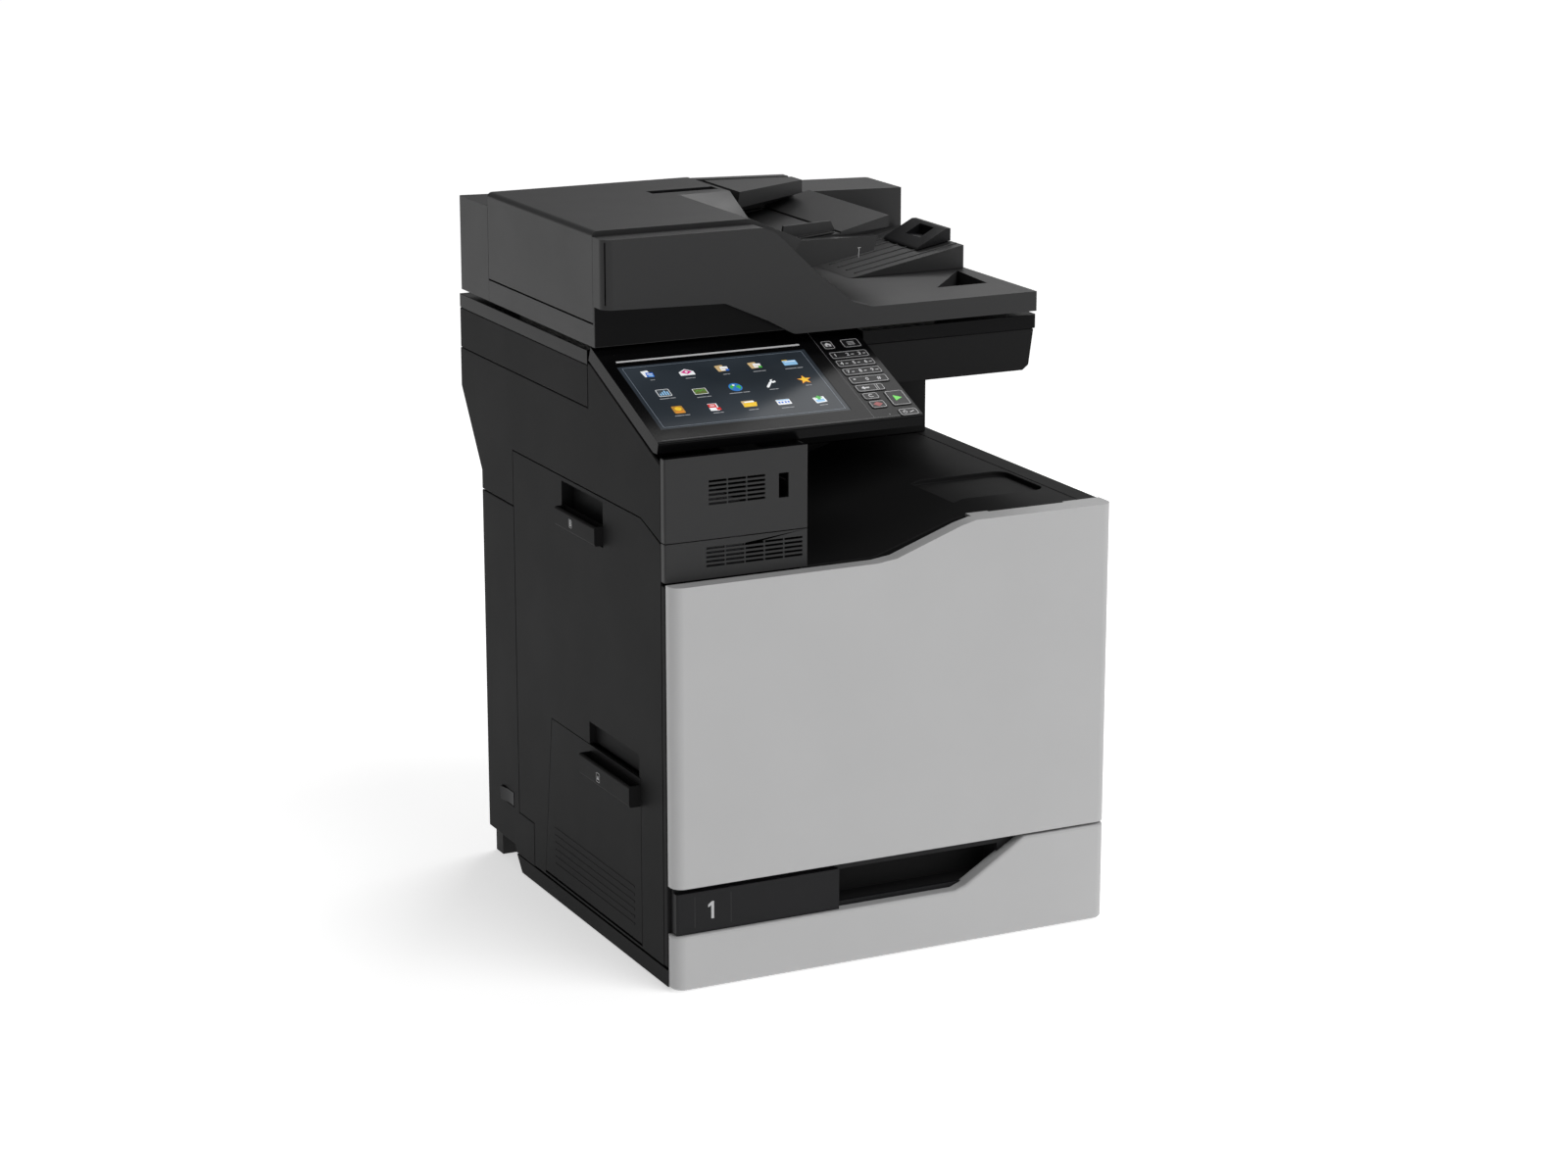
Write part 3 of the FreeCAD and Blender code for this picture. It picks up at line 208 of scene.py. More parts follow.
def moulded_plastic(name, colour, roughness, relief, index=1.25):
    """Injection-moulded casing plastic: a fine pebble grain, faint flow clouds and uneven sheen."""
    pebble = bpy.context.scene.copier_finish.grain
    material = new_material(name)
    moulding = effect_frame(material, "Tone of the moulding")
    skin = effect_frame(material, "Pebble grain")
    place = add_node(material, "ShaderNodeTexCoord", "Place on the casing", (-1100, 0))
    clouds = add_node(material, "ShaderNodeTexNoise", "Flow clouds", (-800, 300), moulding,
                      {"Scale": 9.0, "Detail": 4.0})
    tone = add_node(material, "ShaderNodeValToRGB", "Darker and lighter resin", (-560, 300), moulding)
    set_ramp(tone, (0.3, shaded(colour, 0.985)), (0.7, shaded(colour, 1.015)))
    sheen = add_node(material, "ShaderNodeMapRange", "Uneven sheen", (-560, 60), moulding,
                     {"To Min": roughness - 0.05, "To Max": roughness + 0.06})
    pebbles = add_node(material, "ShaderNodeTexNoise", "Pebbles", (-800, -200), skin,
                       {"Scale": 1.0 / pebble, "Detail": 2.0})
    grain = add_node(material, "ShaderNodeBump", "Grain height", (-560, -200), skin,
                     {"Strength": relief, "Distance": PEBBLE_HEIGHT})
    surface = add_surface(material, "Casing plastic", {"IOR": index})
    connect(
        material,
        (place, "Object", clouds, "Vector"),
        (place, "Object", pebbles, "Vector"),
        (clouds, "Fac", tone, "Fac"),
        (clouds, "Fac", sheen, "Value"),
        (pebbles, "Fac", grain, "Height"),
        (tone, "Color", surface, "Base Color"),
        (sheen, "Result", surface, "Roughness"),
        (grain, "Normal", surface, "Normal"))


def polished_plastic(name, colour, roughness):
    """Black piano-finish plastic: smooth, with a faint haze where hands have wiped it."""
    material = new_material(name)
    wiping = effect_frame(material, "Wiping haze")
    place = add_node(material, "ShaderNodeTexCoord", "Place on the trim", (-900, 0))
    smears = add_node(material, "ShaderNodeTexNoise", "Smears", (-700, 0), wiping,
                      {"Scale": 22.0, "Detail": 5.0, "Distortion": 1.2})
    haze = add_node(material, "ShaderNodeMapRange", "Haze on the polish", (-460, 0), wiping,
                    {"To Min": roughness, "To Max": roughness + 0.12})
    surface = add_surface(material, "Polished plastic", {"Base Color": shaded(colour), "IOR": 1.16})
    connect(
        material,
        (place, "Object", smears, "Vector"),
        (smears, "Fac", haze, "Value"),
        (haze, "Result", surface, "Roughness"))


def worked_metal(name, colour, roughness, streak):
    """Sheet or turned steel: long brushed streaks over a plated tone."""
    material = new_material(name)
    rolling = effect_frame(material, "Rolling streaks")
    place = add_node(material, "ShaderNodeTexCoord", "Place on the metal", (-1150, 0))
    stretch = add_node(material, "ShaderNodeMapping", "Stretched along the sheet", (-950, 0), rolling,
                       {"Scale": (streak, ACROSS_THE_STREAKS, ACROSS_THE_STREAKS)})
    streaks = add_node(material, "ShaderNodeTexNoise", "Streaks", (-720, 0), rolling,
                       {"Scale": 1.0, "Detail": 3.0})
    shine = add_node(material, "ShaderNodeMapRange", "Streaked shine", (-480, -60), rolling,
                     {"To Min": roughness - 0.08, "To Max": roughness + 0.1})
    tone = add_node(material, "ShaderNodeMixRGB", "Streaked tone", (-480, 180), rolling,
                    {"Color1": shaded(colour, 0.86), "Color2": shaded(colour)})
    surface = add_surface(material, "Metal", {"Metallic": 1.0})
    connect(
        material,
        (place, "Object", stretch, "Vector"),
        (stretch, "Vector", streaks, "Vector"),
        (streaks, "Fac", shine, "Value"),
        (streaks, "Fac", tone, "Fac"),
        (tone, "Color", surface, "Base Color"),
        (shine, "Result", surface, "Roughness"))


def soft_material(name, colour, roughness, cell, relief):
    """Rubber or open foam: a matt surface with a cellular skin."""
    material = new_material(name)
    skin = effect_frame(material, "Cells of the skin")
    place = add_node(material, "ShaderNodeTexCoord", "Place on the part", (-950, 0))
    cells = add_node(material, "ShaderNodeTexVoronoi", "Cells", (-740, 0), skin, {"Scale": 1.0 / cell})
    tone = add_node(material, "ShaderNodeMixRGB", "Tone from cell to cell", (-480, 160), skin,
                    {"Color1": shaded(colour), "Color2": shaded(colour, 0.8)})
    dimples = add_node(material, "ShaderNodeBump", "Dimples", (-480, -120), skin,
                       {"Strength": relief, "Distance": DIMPLE_DEPTH})
    surface = add_surface(material, "Soft skin", {"Roughness": roughness})
    connect(
        material,
        (place, "Object", cells, "Vector"),
        (cells, "Distance", tone, "Fac"),
        (cells, "Distance", dimples, "Height"),
        (tone, "Color", surface, "Base Color"),
        (dimples, "Normal", surface, "Normal"))


def clear_glass(name):
    """The platen: float glass with a faint green tint and fine dust that dulls it in patches."""
    material = new_material(name)
    dusty = effect_frame(material, "Dust")
    place = add_node(material, "ShaderNodeTexCoord", "Place on the glass", (-900, 0))
    dust = add_node(material, "ShaderNodeTexNoise", "Dust patches", (-700, 0), dusty,
                    {"Scale": 30.0, "Detail": 6.0})
    dull = add_node(material, "ShaderNodeMapRange", "Dulled by dust", (-460, 0), dusty,
                    {"To Min": 0.02, "To Max": 0.10})
    surface = add_surface(material, "Float glass", {
        "Base Color": (0.80, 0.92, 0.88, 1), "Transmission Weight": 0.92, "IOR": 1.5})
    connect(
        material,
        (place, "Object", dust, "Vector"),
        (dust, "Fac", dull, "Value"),
        (dull, "Result", surface, "Roughness"))


def printed_ink(name, colour, glow):
    """Ink or a lit patch of the screen: a little uneven in tone, and glowing by the given amount; on prints
    that are no lamps the glow is painted light.
    """
    material = new_material(name)
    uneven = effect_frame(material, "Uneven ink")
    place = add_node(material, "ShaderNodeTexCoord", "Place on the print", (-900, 0))
    patches = add_node(material, "ShaderNodeTexNoise", "Ink patches", (-700, 0), uneven, {"Scale": 260.0})
    tone = add_node(material, "ShaderNodeMixRGB", "Thin and thick ink", (-460, 0), uneven,
                    {"Color1": shaded(colour, 0.82), "Color2": shaded(colour)})
    surface = add_surface(material, "Ink", {"Roughness": 0.45, "Emission Strength": glow})
    connect(
        material,
        (place, "Object", patches, "Vector"),
        (patches, "Fac", tone, "Fac"),
        (tone, "Color", surface, "Base Color"))
    if glow:
        connect(material, (tone, "Color", surface, "Emission Color"))
    return material


def lit_screen(name):
    """The display's face: a dark slate wallpaper with soft lighter clouds, behind smooth glass."""
    material = new_material(name)
    picture = effect_frame(material, "Wallpaper")
    low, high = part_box("touch_screen")
    place = add_node(material, "ShaderNodeTexCoord", "Place on the screen", (-1150, 0))
    middle = add_node(material, "ShaderNodeMapping", "Centred on the screen", (-950, 0), picture, {
        "Location": -(low + high) / 2 * WALLPAPER_SCALE, "Scale": (WALLPAPER_SCALE,) * 3})
    cloud = add_node(material, "ShaderNodeTexNoise", "Soft clouds", (-720, 120), picture,
                     {"Scale": 1.6, "Detail": 2.0})
    slate = add_node(material, "ShaderNodeValToRGB", "Slate wallpaper", (-480, 120), picture)
    set_ramp(slate, (0.30, (0.010, 0.014, 0.019, 1)), (0.72, (0.034, 0.043, 0.054, 1)))
    surface = add_surface(material, "Screen glass", {
        "Base Color": (0.01, 0.012, 0.014, 1), "Roughness": 0.16, "IOR": 1.2, "Emission Strength": 0.8})
    connect(
        material,
        (place, "Object", middle, "Vector"),
        (middle, "Vector", cloud, "Vector"),
        (cloud, "Fac", slate, "Fac"),
        (slate, "Color", surface, "Emission Color"))


def make_finishes():
    """Build the finish of each material slot in the record."""
    finish = bpy.context.scene.copier_finish
    moulded_plastic("dark_shell", finish.shell_dark, 0.50, 0.25, 1.11)
    moulded_plastic("mid_shell", finish.shell_mid, 0.42, 0.25, 1.26)
    moulded_plastic("light_shell", finish.shell_light, 0.42, 0.12, 1.45)
    moulded_plastic("black_plastic", (0.010, 0.010, 0.011), 0.38, 0.15)
    moulded_plastic("inner_grey", (0.16, 0.16, 0.165), 0.5, 0.2)
    polished_plastic("black_gloss", finish.trim_black, 0.14)
    polished_plastic("belt_black", (0.012, 0.012, 0.014), 0.22)
    lit_screen("screen_glass")
    clear_glass("clear_glass")
    worked_metal("steel_sheet", (0.52, 0.53, 0.54), 0.38, 12)
    worked_metal("steel_bright", (0.62, 0.62, 0.62), 0.22, 20)
    soft_material("rubber", (0.018, 0.018, 0.018), 0.8, 0.0012, 0.3)
    soft_material("white_foam", (0.78, 0.78, 0.76), 0.9, 0.0016, 0.5)


def finish_of(name):
    return bpy.data.materials[name]


# ------------------------------------------------------------------ modelling helpers

def pick_only(piece):
    bpy.ops.object.select_all(action="DESELECT")
    piece.select_set(True)
    bpy.context.view_layer.objects.active = piece


def settle(piece, body, material=None):
    """Bake the piece's place into its mesh, give it its finish and let it ride on its body."""
    bpy.context.view_layer.update()
    pick_only(piece)
    bpy.ops.object.transform_apply(location=True, rotation=True, scale=True)
    if material is not None:
        piece.data.materials.clear()
        piece.data.materials.append(material)
    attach(piece, body)
    return piece


def soften(node, width, segments=3):
    """A moulded copy of a CAD node: its flats are made whole and its sharp edges rounded."""
    source = frame["nodes"][node]
    piece = bpy.data.objects.new(node + "_moulding", source.data.copy())
    bpy.context.scene.collection.objects.link(piece)
    pick_only(piece)
    bpy.ops.object.mode_set(mode="EDIT")
    bpy.ops.mesh.select_all(action="SELECT")
    bpy.ops.mesh.remove_doubles(threshold=WELD_GAP)
    bpy.ops.mesh.dissolve_limited(angle_limit=FLAT_WITHIN)
    bpy.ops.object.mode_set(mode="OBJECT")
    rounding = piece.modifiers.new("Moulded edges", "BEVEL")
    rounding.width = width
    rounding.segments = segments
    rounding.limit_method = "ANGLE"
    rounding.angle_limit = SHARP_OVER
    rounding.use_clamp_overlap = True
    bpy.ops.object.modifier_apply(modifier=rounding.name)
    bpy.ops.object.shade_smooth_by_angle(angle=SMOOTH_UNDER)
    flatten = piece.modifiers.new("Flat faces stay flat", "WEIGHTED_NORMAL")
    flatten.keep_sharp = True
    flatten.weight = 80
    bpy.ops.object.modifier_apply(modifier=flatten.name)
    settle(piece, BODY_OF[node], finish_of(SLOT_OF[node]))
    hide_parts(node)
    return piece


def rounded_outline(left, right, low, high, radius, steps=5):
    """The corners of a rectangle with rounded corners, anticlockwise."""
    points = []
    centres = ((right - radius, high - radius, 0), (left + radius, high - radius, 90),
               (left + radius, low + radius, 180), (right - radius, low + radius, 270))
    for x, y, start in centres:
        for step in range(steps + 1):
            angle = math.radians(start + 90 * step / steps)
            points.append((x + radius * math.cos(angle), y + radius * math.sin(angle)))
    return points


def drawn_face(name, points, level, material):
    """One flat face with the given outline, in millimetres in its own plane, facing up."""
    bpy.ops.object.select_all(action="DESELECT")
    bpy.ops.mesh.primitive_circle_add(vertices=len(points), radius=1, fill_type="NGON")
    piece = bpy.context.active_object
    piece.name = name
    for vertex, (x, y) in zip(piece.data.vertices, points):
        vertex.co = (x * MM, y * MM, level * MM)
    if piece.data.polygons[0].normal.z < 0:
        piece.data.flip_normals()
    piece.data.materials.append(material)
    return piece


def thicken(piece, thick):
    depth = piece.modifiers.new("Thickness", "SOLIDIFY")
    depth.thickness = thick * MM
    depth.offset = 1
    bpy.ops.object.modifier_apply(modifier=depth.name)
    return piece


def flat_plate(name, points, level, thick, material):
    """A thin plate with the given outline."""
    return thicken(drawn_face(name, points, level, material), thick)


def outline_ring(name, points, line, level, thick, material):
    """A drawn outline: a plate with its middle taken out by an inset."""
    piece = drawn_face(name, points, level, material)
    bpy.ops.object.mode_set(mode="EDIT")
    bpy.ops.mesh.select_all(action="SELECT")
    bpy.ops.mesh.inset(thickness=line * MM)
    bpy.ops.mesh.delete(type="FACE")
    bpy.ops.object.mode_set(mode="OBJECT")
    return thicken(piece, thick)


def glyph(name, text, x, y, size, level, material, bold=0.0):
    """A digit or sign as a thin solid, centred on a point of the plane, in millimetres."""
    bpy.ops.object.select_all(action="DESELECT")
    bpy.ops.object.text_add(location=(x * MM, y * MM, level * MM))
    piece = bpy.context.active_object
    piece.name = name
    piece.data.body = text
    piece.data.size = size * MM
    piece.data.align_x = "CENTER"
    piece.data.align_y = "CENTER"
    piece.data.extrude = 0.03 * MM
    piece.data.offset = bold * MM
    piece.data.resolution_u = 3
    bpy.ops.object.convert(target="MESH")
    piece = bpy.context.active_object
    piece.data.materials.clear()
    piece.data.materials.append(material)
    return piece


def join_pieces(name, pieces):
    bpy.ops.object.select_all(action="DESELECT")
    for piece in pieces:
        piece.select_set(True)
    bpy.context.view_layer.objects.active = pieces[0]
    bpy.ops.object.join()
    joined = bpy.context.active_object
    joined.name = name
    return joined


def lay_on_panel(piece):
    """Turn a piece drawn flat onto the sloping control panel."""
    piece.matrix_world = PANEL_PLACE @ piece.matrix_world
    return piece


def tile(name, x, slope, wide, tall, level, ink, radius=0.5, turn=0.0):
    """A printed rounded patch on the panel, placed from its left edge and down its slope."""
    half_wide = wide / 2
    half_tall = tall / 2
    radius = min(radius, half_wide * 0.98, half_tall * 0.98)
    lean = math.radians(turn)
    points = []
    for along, up in rounded_outline(-half_wide, half_wide, -half_tall, half_tall, radius, 2):
        points.append((
            x + along * math.cos(lean) - up * math.sin(lean),
            -slope + along * math.sin(lean) + up * math.cos(lean),
        ))
    return flat_plate(name, points, level, PRINT_THICK, finish_of(ink))


def patch(name, x, slope, corners, level, ink):
    """A printed patch with its own outline, given about its middle."""
    points = [(x + along, -slope + up) for along, up in corners]
    return flat_plate(name, points, level, PRINT_THICK, finish_of(ink))


def circle_corners(radius, sides):
    turns = [math.tau * step / sides for step in range(sides)]
    return [(radius * math.cos(turn), radius * math.sin(turn)) for turn in turns]


def disc(name, x, slope, radius, level, ink, sides=24):
    return patch(name, x, slope, circle_corners(radius, sides), level, ink)


def star_corners(outer, inner):
    corners = []
    for step in range(10):
        reach = outer if step % 2 == 0 else inner
        angle = math.radians(90 + 36 * step)
        corners.append((reach * math.cos(angle), reach * math.sin(angle)))
    return corners


def on_panel(name, pieces, body):
    """Join printed pieces into one, lay it on the sloping panel and let it ride on its body."""
    joined = lay_on_panel(join_pieces(name, pieces))
    return settle(joined, body)


def upright(piece, origin, facing):
    """Stand a piece drawn flat up against a front or a left face."""
    turns = {"front": (math.pi / 2, 0, 0), "left": (math.pi / 2, 0, -math.pi / 2)}
    place = Matrix.Translation(origin) @ Euler(turns[facing]).to_matrix().to_4x4()
    piece.matrix_world = place @ piece.matrix_world
    return piece


# ------------------------------------------------------------------ operators

class COPIER_OT_covers(bpy.types.Operator):
    """Give every outside cover its moulded edges and grained plastic"""
    bl_idname = "copier.covers"
    bl_label = "Covers"

    def execute(self, context):
        edges = context.scene.copier_edges
        for node in ("front_door", "tray_fascia"):
            soften(node, edges.door, 4)
        for node in ("right_cover", "rear_cover", "left_rear_cover", "left_upper_cover", "front_strip",
                     "side_door", "feeder_door", "rear_column", "scanner_housing", "feeder_base",
                     "feeder_rear_housing", "feeder_cover", "bin_deck", "tray_handle_panel"):
            soften(node, edges.casing)
        for node in ("exit_block", "vent_strip", "side_door_handle", "power_rocker", "input_tray",
                     "paper_guide_front", "paper_guide_rear", "paper_stop", "output_platform",
                     "control_panel", "scanner_top_frame", "tray_box", "toner_cartridges",
                     "rubber_feet"):
            soften(node, edges.detail)
        return {"FINISHED"}


class COPIER_OT_screen(bpy.types.Operator):
    """Draw the home screen: a wallpaper border and fifteen little pictures with their captions"""
    bl_idname = "copier.screen"
    bl_label = "Home screen"

    def execute(self, context):
        body = BODY_OF["touch_screen"]
        base = -0.36
        mid = base + LAYER
        top = mid + LAYER
        inks = {
            "ink_white": (0.80, 0.82, 0.84), "ink_pale_blue": (0.25, 0.48, 0.72),
            "ink_blue": (0.03, 0.13, 0.52), "ink_magenta": (0.55, 0.02, 0.20),
            "ink_beige": (0.56, 0.40, 0.20), "ink_green": (0.05, 0.38, 0.04),
            "ink_yellow": (0.80, 0.50, 0.02), "ink_gold": (0.42, 0.20, 0.02),
            "ink_orange": (0.75, 0.22, 0.01), "ink_red": (0.60, 0.01, 0.01),
            "ink_olive": (0.10, 0.13, 0.03), "ink_slate": (0.05, 0.06, 0.07),
            "ink_sea": (0.02, 0.16, 0.50), "ink_caption": (0.32, 0.33, 0.35),
            "ink_border": (0.16, 0.19, 0.23),
        }
        screen_glow = 0.55
        for name, colour in inks.items():
            printed_ink(name, colour, screen_glow)

        def documents(x, s):
            return [
                tile("sheet_back", x - 2.5, s - 1.5, 9, 12, base, "ink_white", 0.4, 8),
                tile("sheet_blue", x + 1, s + 1, 9, 9, mid, "ink_blue", 0.6, -6),
                tile("sheet_text", x + 1.2, s - 0.2, 6.5, 1.6, top, "ink_white", 0.3, -6),
                tile("sheet_foot", x + 1.4, s + 3.2, 5.5, 2.4, top, "ink_pale_blue", 0.3, -6),
            ]

        def envelope(x, s):
            flap = [(-9, -5.5), (9, -5.5), (9, 1.5), (0, 7), (-9, 1.5)]
            heart = [(-7, 0.8), (0, -3.4), (7, 0.8), (0, 5.4)]
            return [
                patch("envelope", x, s, flap, base, "ink_white"),
                patch("letter", x, s, heart, mid, "ink_magenta"),
                disc("seal", x, s - 1, 1.7, top, "ink_white", 16),
            ]

        def card_folder(x, s, mark):
            return [
                tile("folder", x - 2.5, s - 1, 10, 12, base, "ink_beige", 1.0, 6),
                tile("card_back", x + 2, s, 9, 8, mid, "ink_white", 0.5, -4),
                tile("card_line", x + 2, s + 0.6, 6.5, 1.2, top, "ink_beige", 0.3, -4),
                tile("card_mark", x + 4.6, s + 3.2, 4.4, 3.6, top, mark, 0.8),
            ]

        def blue_folder(x, s):
            return [
                tile("folder_tab", x - 4.5, s - 4.6, 7, 3, base, "ink_yellow", 0.6),
                tile("folder_back", x, s, 17, 9.5, mid, "ink_pale_blue", 0.8),
                tile("folder_fold", x + 1, s - 2.6, 13, 1, top, "ink_white", 0.3),
            ]

        def bars(x, s):
            pieces = [
                tile("chart_rim", x, s, 16, 14, base, "ink_white", 1.4),
                tile("chart_ground", x, s, 14.6, 12.6, mid, "ink_slate", 1.0),
            ]
            for index, height in enumerate((4, 6.5, 9, 7)):
                pieces.append(tile("chart_bar_%d" % index, x - 4.5 + 3 * index, s + 5 - height / 2,
                                   1.8, height, top, "ink_pale_blue", 0.2))
            return pieces

        def wave(x, s):
            line = [(-6.5, -2), (-3, 1.6), (0, -0.8), (3.2, 2.2), (6.5, -0.4),
                    (6.5, 0.6), (3.2, 3.2), (0, 0.3), (-3, 2.7), (-6.5, -1)]
            return [
                tile("wave_rim", x, s, 16.5, 11.5, base, "ink_white", 0.8),
                tile("wave_ground", x, s, 15.2, 10.2, mid, "ink_olive", 0.5),
                patch("wave_line", x, s, line, top, "ink_green"),
            ]

        def globe(x, s):
            west = [(-6, 3), (-1, 6), (1, 4), (-1, 1.2), (-3.4, 0), (-4.4, -3.6), (-6.6, -1)]
            east = [(2, 2.6), (6, 3.4), (6.8, -1.2), (3.8, -5), (2.4, -2), (0.8, 0)]
            return [
                disc("globe_sea", x, s, 8, base, "ink_sea"),
                patch("globe_west", x, s, west, mid, "ink_green"),
                patch("globe_east", x, s, east, mid, "ink_green"),
                disc("globe_glint", x - 1, s - 4, 1.6, top, "ink_white", 12),
            ]

        def wrench(x, s):
            jaw = [(1.5, 3.2), (3.4, 7.6), (6.6, 8), (4.2, 5.4),
                   (5.2, 3.8), (8.2, 5.2), (8.4, 2), (4.2, 0.6)]
            return [
                tile("wrench_bar", x - 1.8, s + 2, 13, 3, base, "ink_white", 1.4, 52),
                patch("wrench_jaw", x, s, jaw, mid, "ink_white"),
            ]

        def star(x, s):
            return [
                patch("star_rim", x, s, star_corners(9, 3.8), base, "ink_orange"),
                patch("star_face", x, s - 0.3, star_corners(7.4, 3.1), mid, "ink_yellow"),
            ]

        def gold_box(x, s):
            return [
                tile("box_body", x, s, 13, 14.5, base, "ink_gold", 1.6),
                tile("box_label", x + 0.3, s - 1.6, 8, 7, mid, "ink_yellow", 3.2),
                tile("box_band", x, s + 4.4, 10, 2, mid, "ink_orange", 0.4),
            ]

        def red_document(x, s):
            return [
                tile("red_sheet", x - 1, s, 11, 14, base, "ink_white", 0.6, -4),
                tile("red_block", x - 1.6, s - 2.6, 9.6, 7, mid, "ink_red", 0.5, -4),
                tile("red_line", x - 1.6, s - 2.8, 6, 1.4, top, "ink_white", 0.3, -4),
                tile("red_corner", x + 3.8, s + 4, 5, 5, mid, "ink_red", 0.5),
            ]

        def open_folder(x, s):
            front = [(-9, -5.5), (7, -5.5), (9.5, 2.6), (-6.4, 2.6)]
            return [
                tile("open_back", x - 1, s - 1.4, 15, 10, base, "ink_beige", 0.8),
                tile("open_sheet", x + 1, s - 1.6, 12, 7, mid, "ink_white", 0.4, 4),
                patch("open_front", x, s, front, top, "ink_yellow"),
            ]

        def window_card(x, s):
            pieces = [
                tile("card_sheet", x, s, 17, 10, base, "ink_white", 0.8),
                tile("card_bar", x, s - 3.6, 15.6, 1.6, mid, "ink_pale_blue", 0.3),
            ]
            for index, start in enumerate((-5.6, -1.8, 2.2, 5.8)):
                pieces.append(tile("card_word_%d" % index, x + start, s + 0.6, 2.4, 3.2, mid,
                                   "ink_blue", 0.3))
            return pieces

        def picture_arrow(x, s):
            arrow = [(-2, 0), (2, 0), (2, 3), (5, 3), (0, 8), (-5, 3), (-2, 3)]
            return [
                tile("picture_sheet", x, s + 1, 14, 11, base, "ink_white", 0.6, 6),
                tile("picture_sky", x, s + 2.4, 11, 5, mid, "ink_pale_blue", 0.4, 6),
                patch("picture_arrow", x, s + 0.6, arrow, top, "ink_green"),
            ]

        # What is drawn, its middle on the panel, its mark if it has one, and its caption's length.
        pictures = (
            (documents, 45, 63.5, (), 6), (envelope, 90, 67, (), 13),
            (card_folder, 135, 66.5, ("ink_blue",), 9), (card_folder, 176, 67, ("ink_green",), 17),
            (blue_folder, 219, 68, (), 24), (bars, 47, 102, (), 21), (wave, 90, 106, (), 19),
            (globe, 134, 105, (), 27), (wrench, 177, 105, (), 12), (star, 221, 104, (), 8),
            (gold_box, 50, 137, (), 20), (red_document, 93, 139, (), 14), (open_folder, 136, 140, (), 13),
            (window_card, 177, 143, (), 17), (picture_arrow, 221, 145, (), 11),
        )
        for index, (draw, x, s, options, length) in enumerate(pictures):
            pieces = draw(x, s, *options)
            for word, middle, share in (("caption_a", -0.16, 0.58), ("caption_b", 0.32, 0.30)):
                pieces.append(tile(word, x + length * middle, s + 11.4, length * share, 1.1, base,
                                   "ink_caption", 0.3))
            on_panel("screen_picture_%02d" % (index + 1), pieces, body)

        border = outline_ring("screen_border", rounded_outline(19, 243, -168, -47, 0.6, 1), 0.5, base,
                              0.04, finish_of("ink_border"))
        status = [tile("status_%d" % index, 128 + 5 * index, 41, 3, 1, base, "ink_caption", 0.3)
                  for index in range(4)]
        status.append(tile("clock", 212, 41, 14, 1, base, "ink_caption", 0.3))
        on_panel("screen_status", [border] + status, body)
        return {"FINISHED"}


class COPIER_OT_panel_trim(bpy.types.Operator):
    """Fit the bright strip with its painted glow, the keypad seam, a grey line painted as the front lip's
    highlight, and the small lamp to the control panel
    """
    bl_idname = "copier.panel_trim"
    bl_label = "Panel trim"

    def execute(self, context):
        body = BODY_OF["control_panel"]
        # Painted highlight: the silver strip glows a little, though it is no lamp, to brighten its sheen.
        strip = flat_plate("panel_strip", rounded_outline(17, 246, -36, -33.4, 0.4, 2), -0.02, 0.5,
                           printed_ink("silver_trim_painted_glow", (0.66, 0.66, 0.67), 0.15))
        on_panel("panel_strip", [strip], body)
        seam = [
            flat_plate("keypad_seam", rounded_outline(267.2, 267.8, -193, -6, 0.1, 1), 0.0, 0.06,
                       finish_of("inner_grey")),
            # Painted highlight: a grey line along the panel's front lip, where light catches the lip.
            flat_plate("front_lip_highlight", rounded_outline(6, 322, -192.6, -192, 0.2, 1), 0.0, 0.06,
                       finish_of("inner_grey")),
        ]
        on_panel("panel_seam_and_highlight", seam, body)
        printed_ink("lamp_grey", (0.10, 0.10, 0.11), 0.0)
        lamp = disc("ready_lamp", 289, 188, 1.1, 0.01, "lamp_grey", 16)
        on_panel("ready_lamp", [lamp], body)
        return {"FINISHED"}


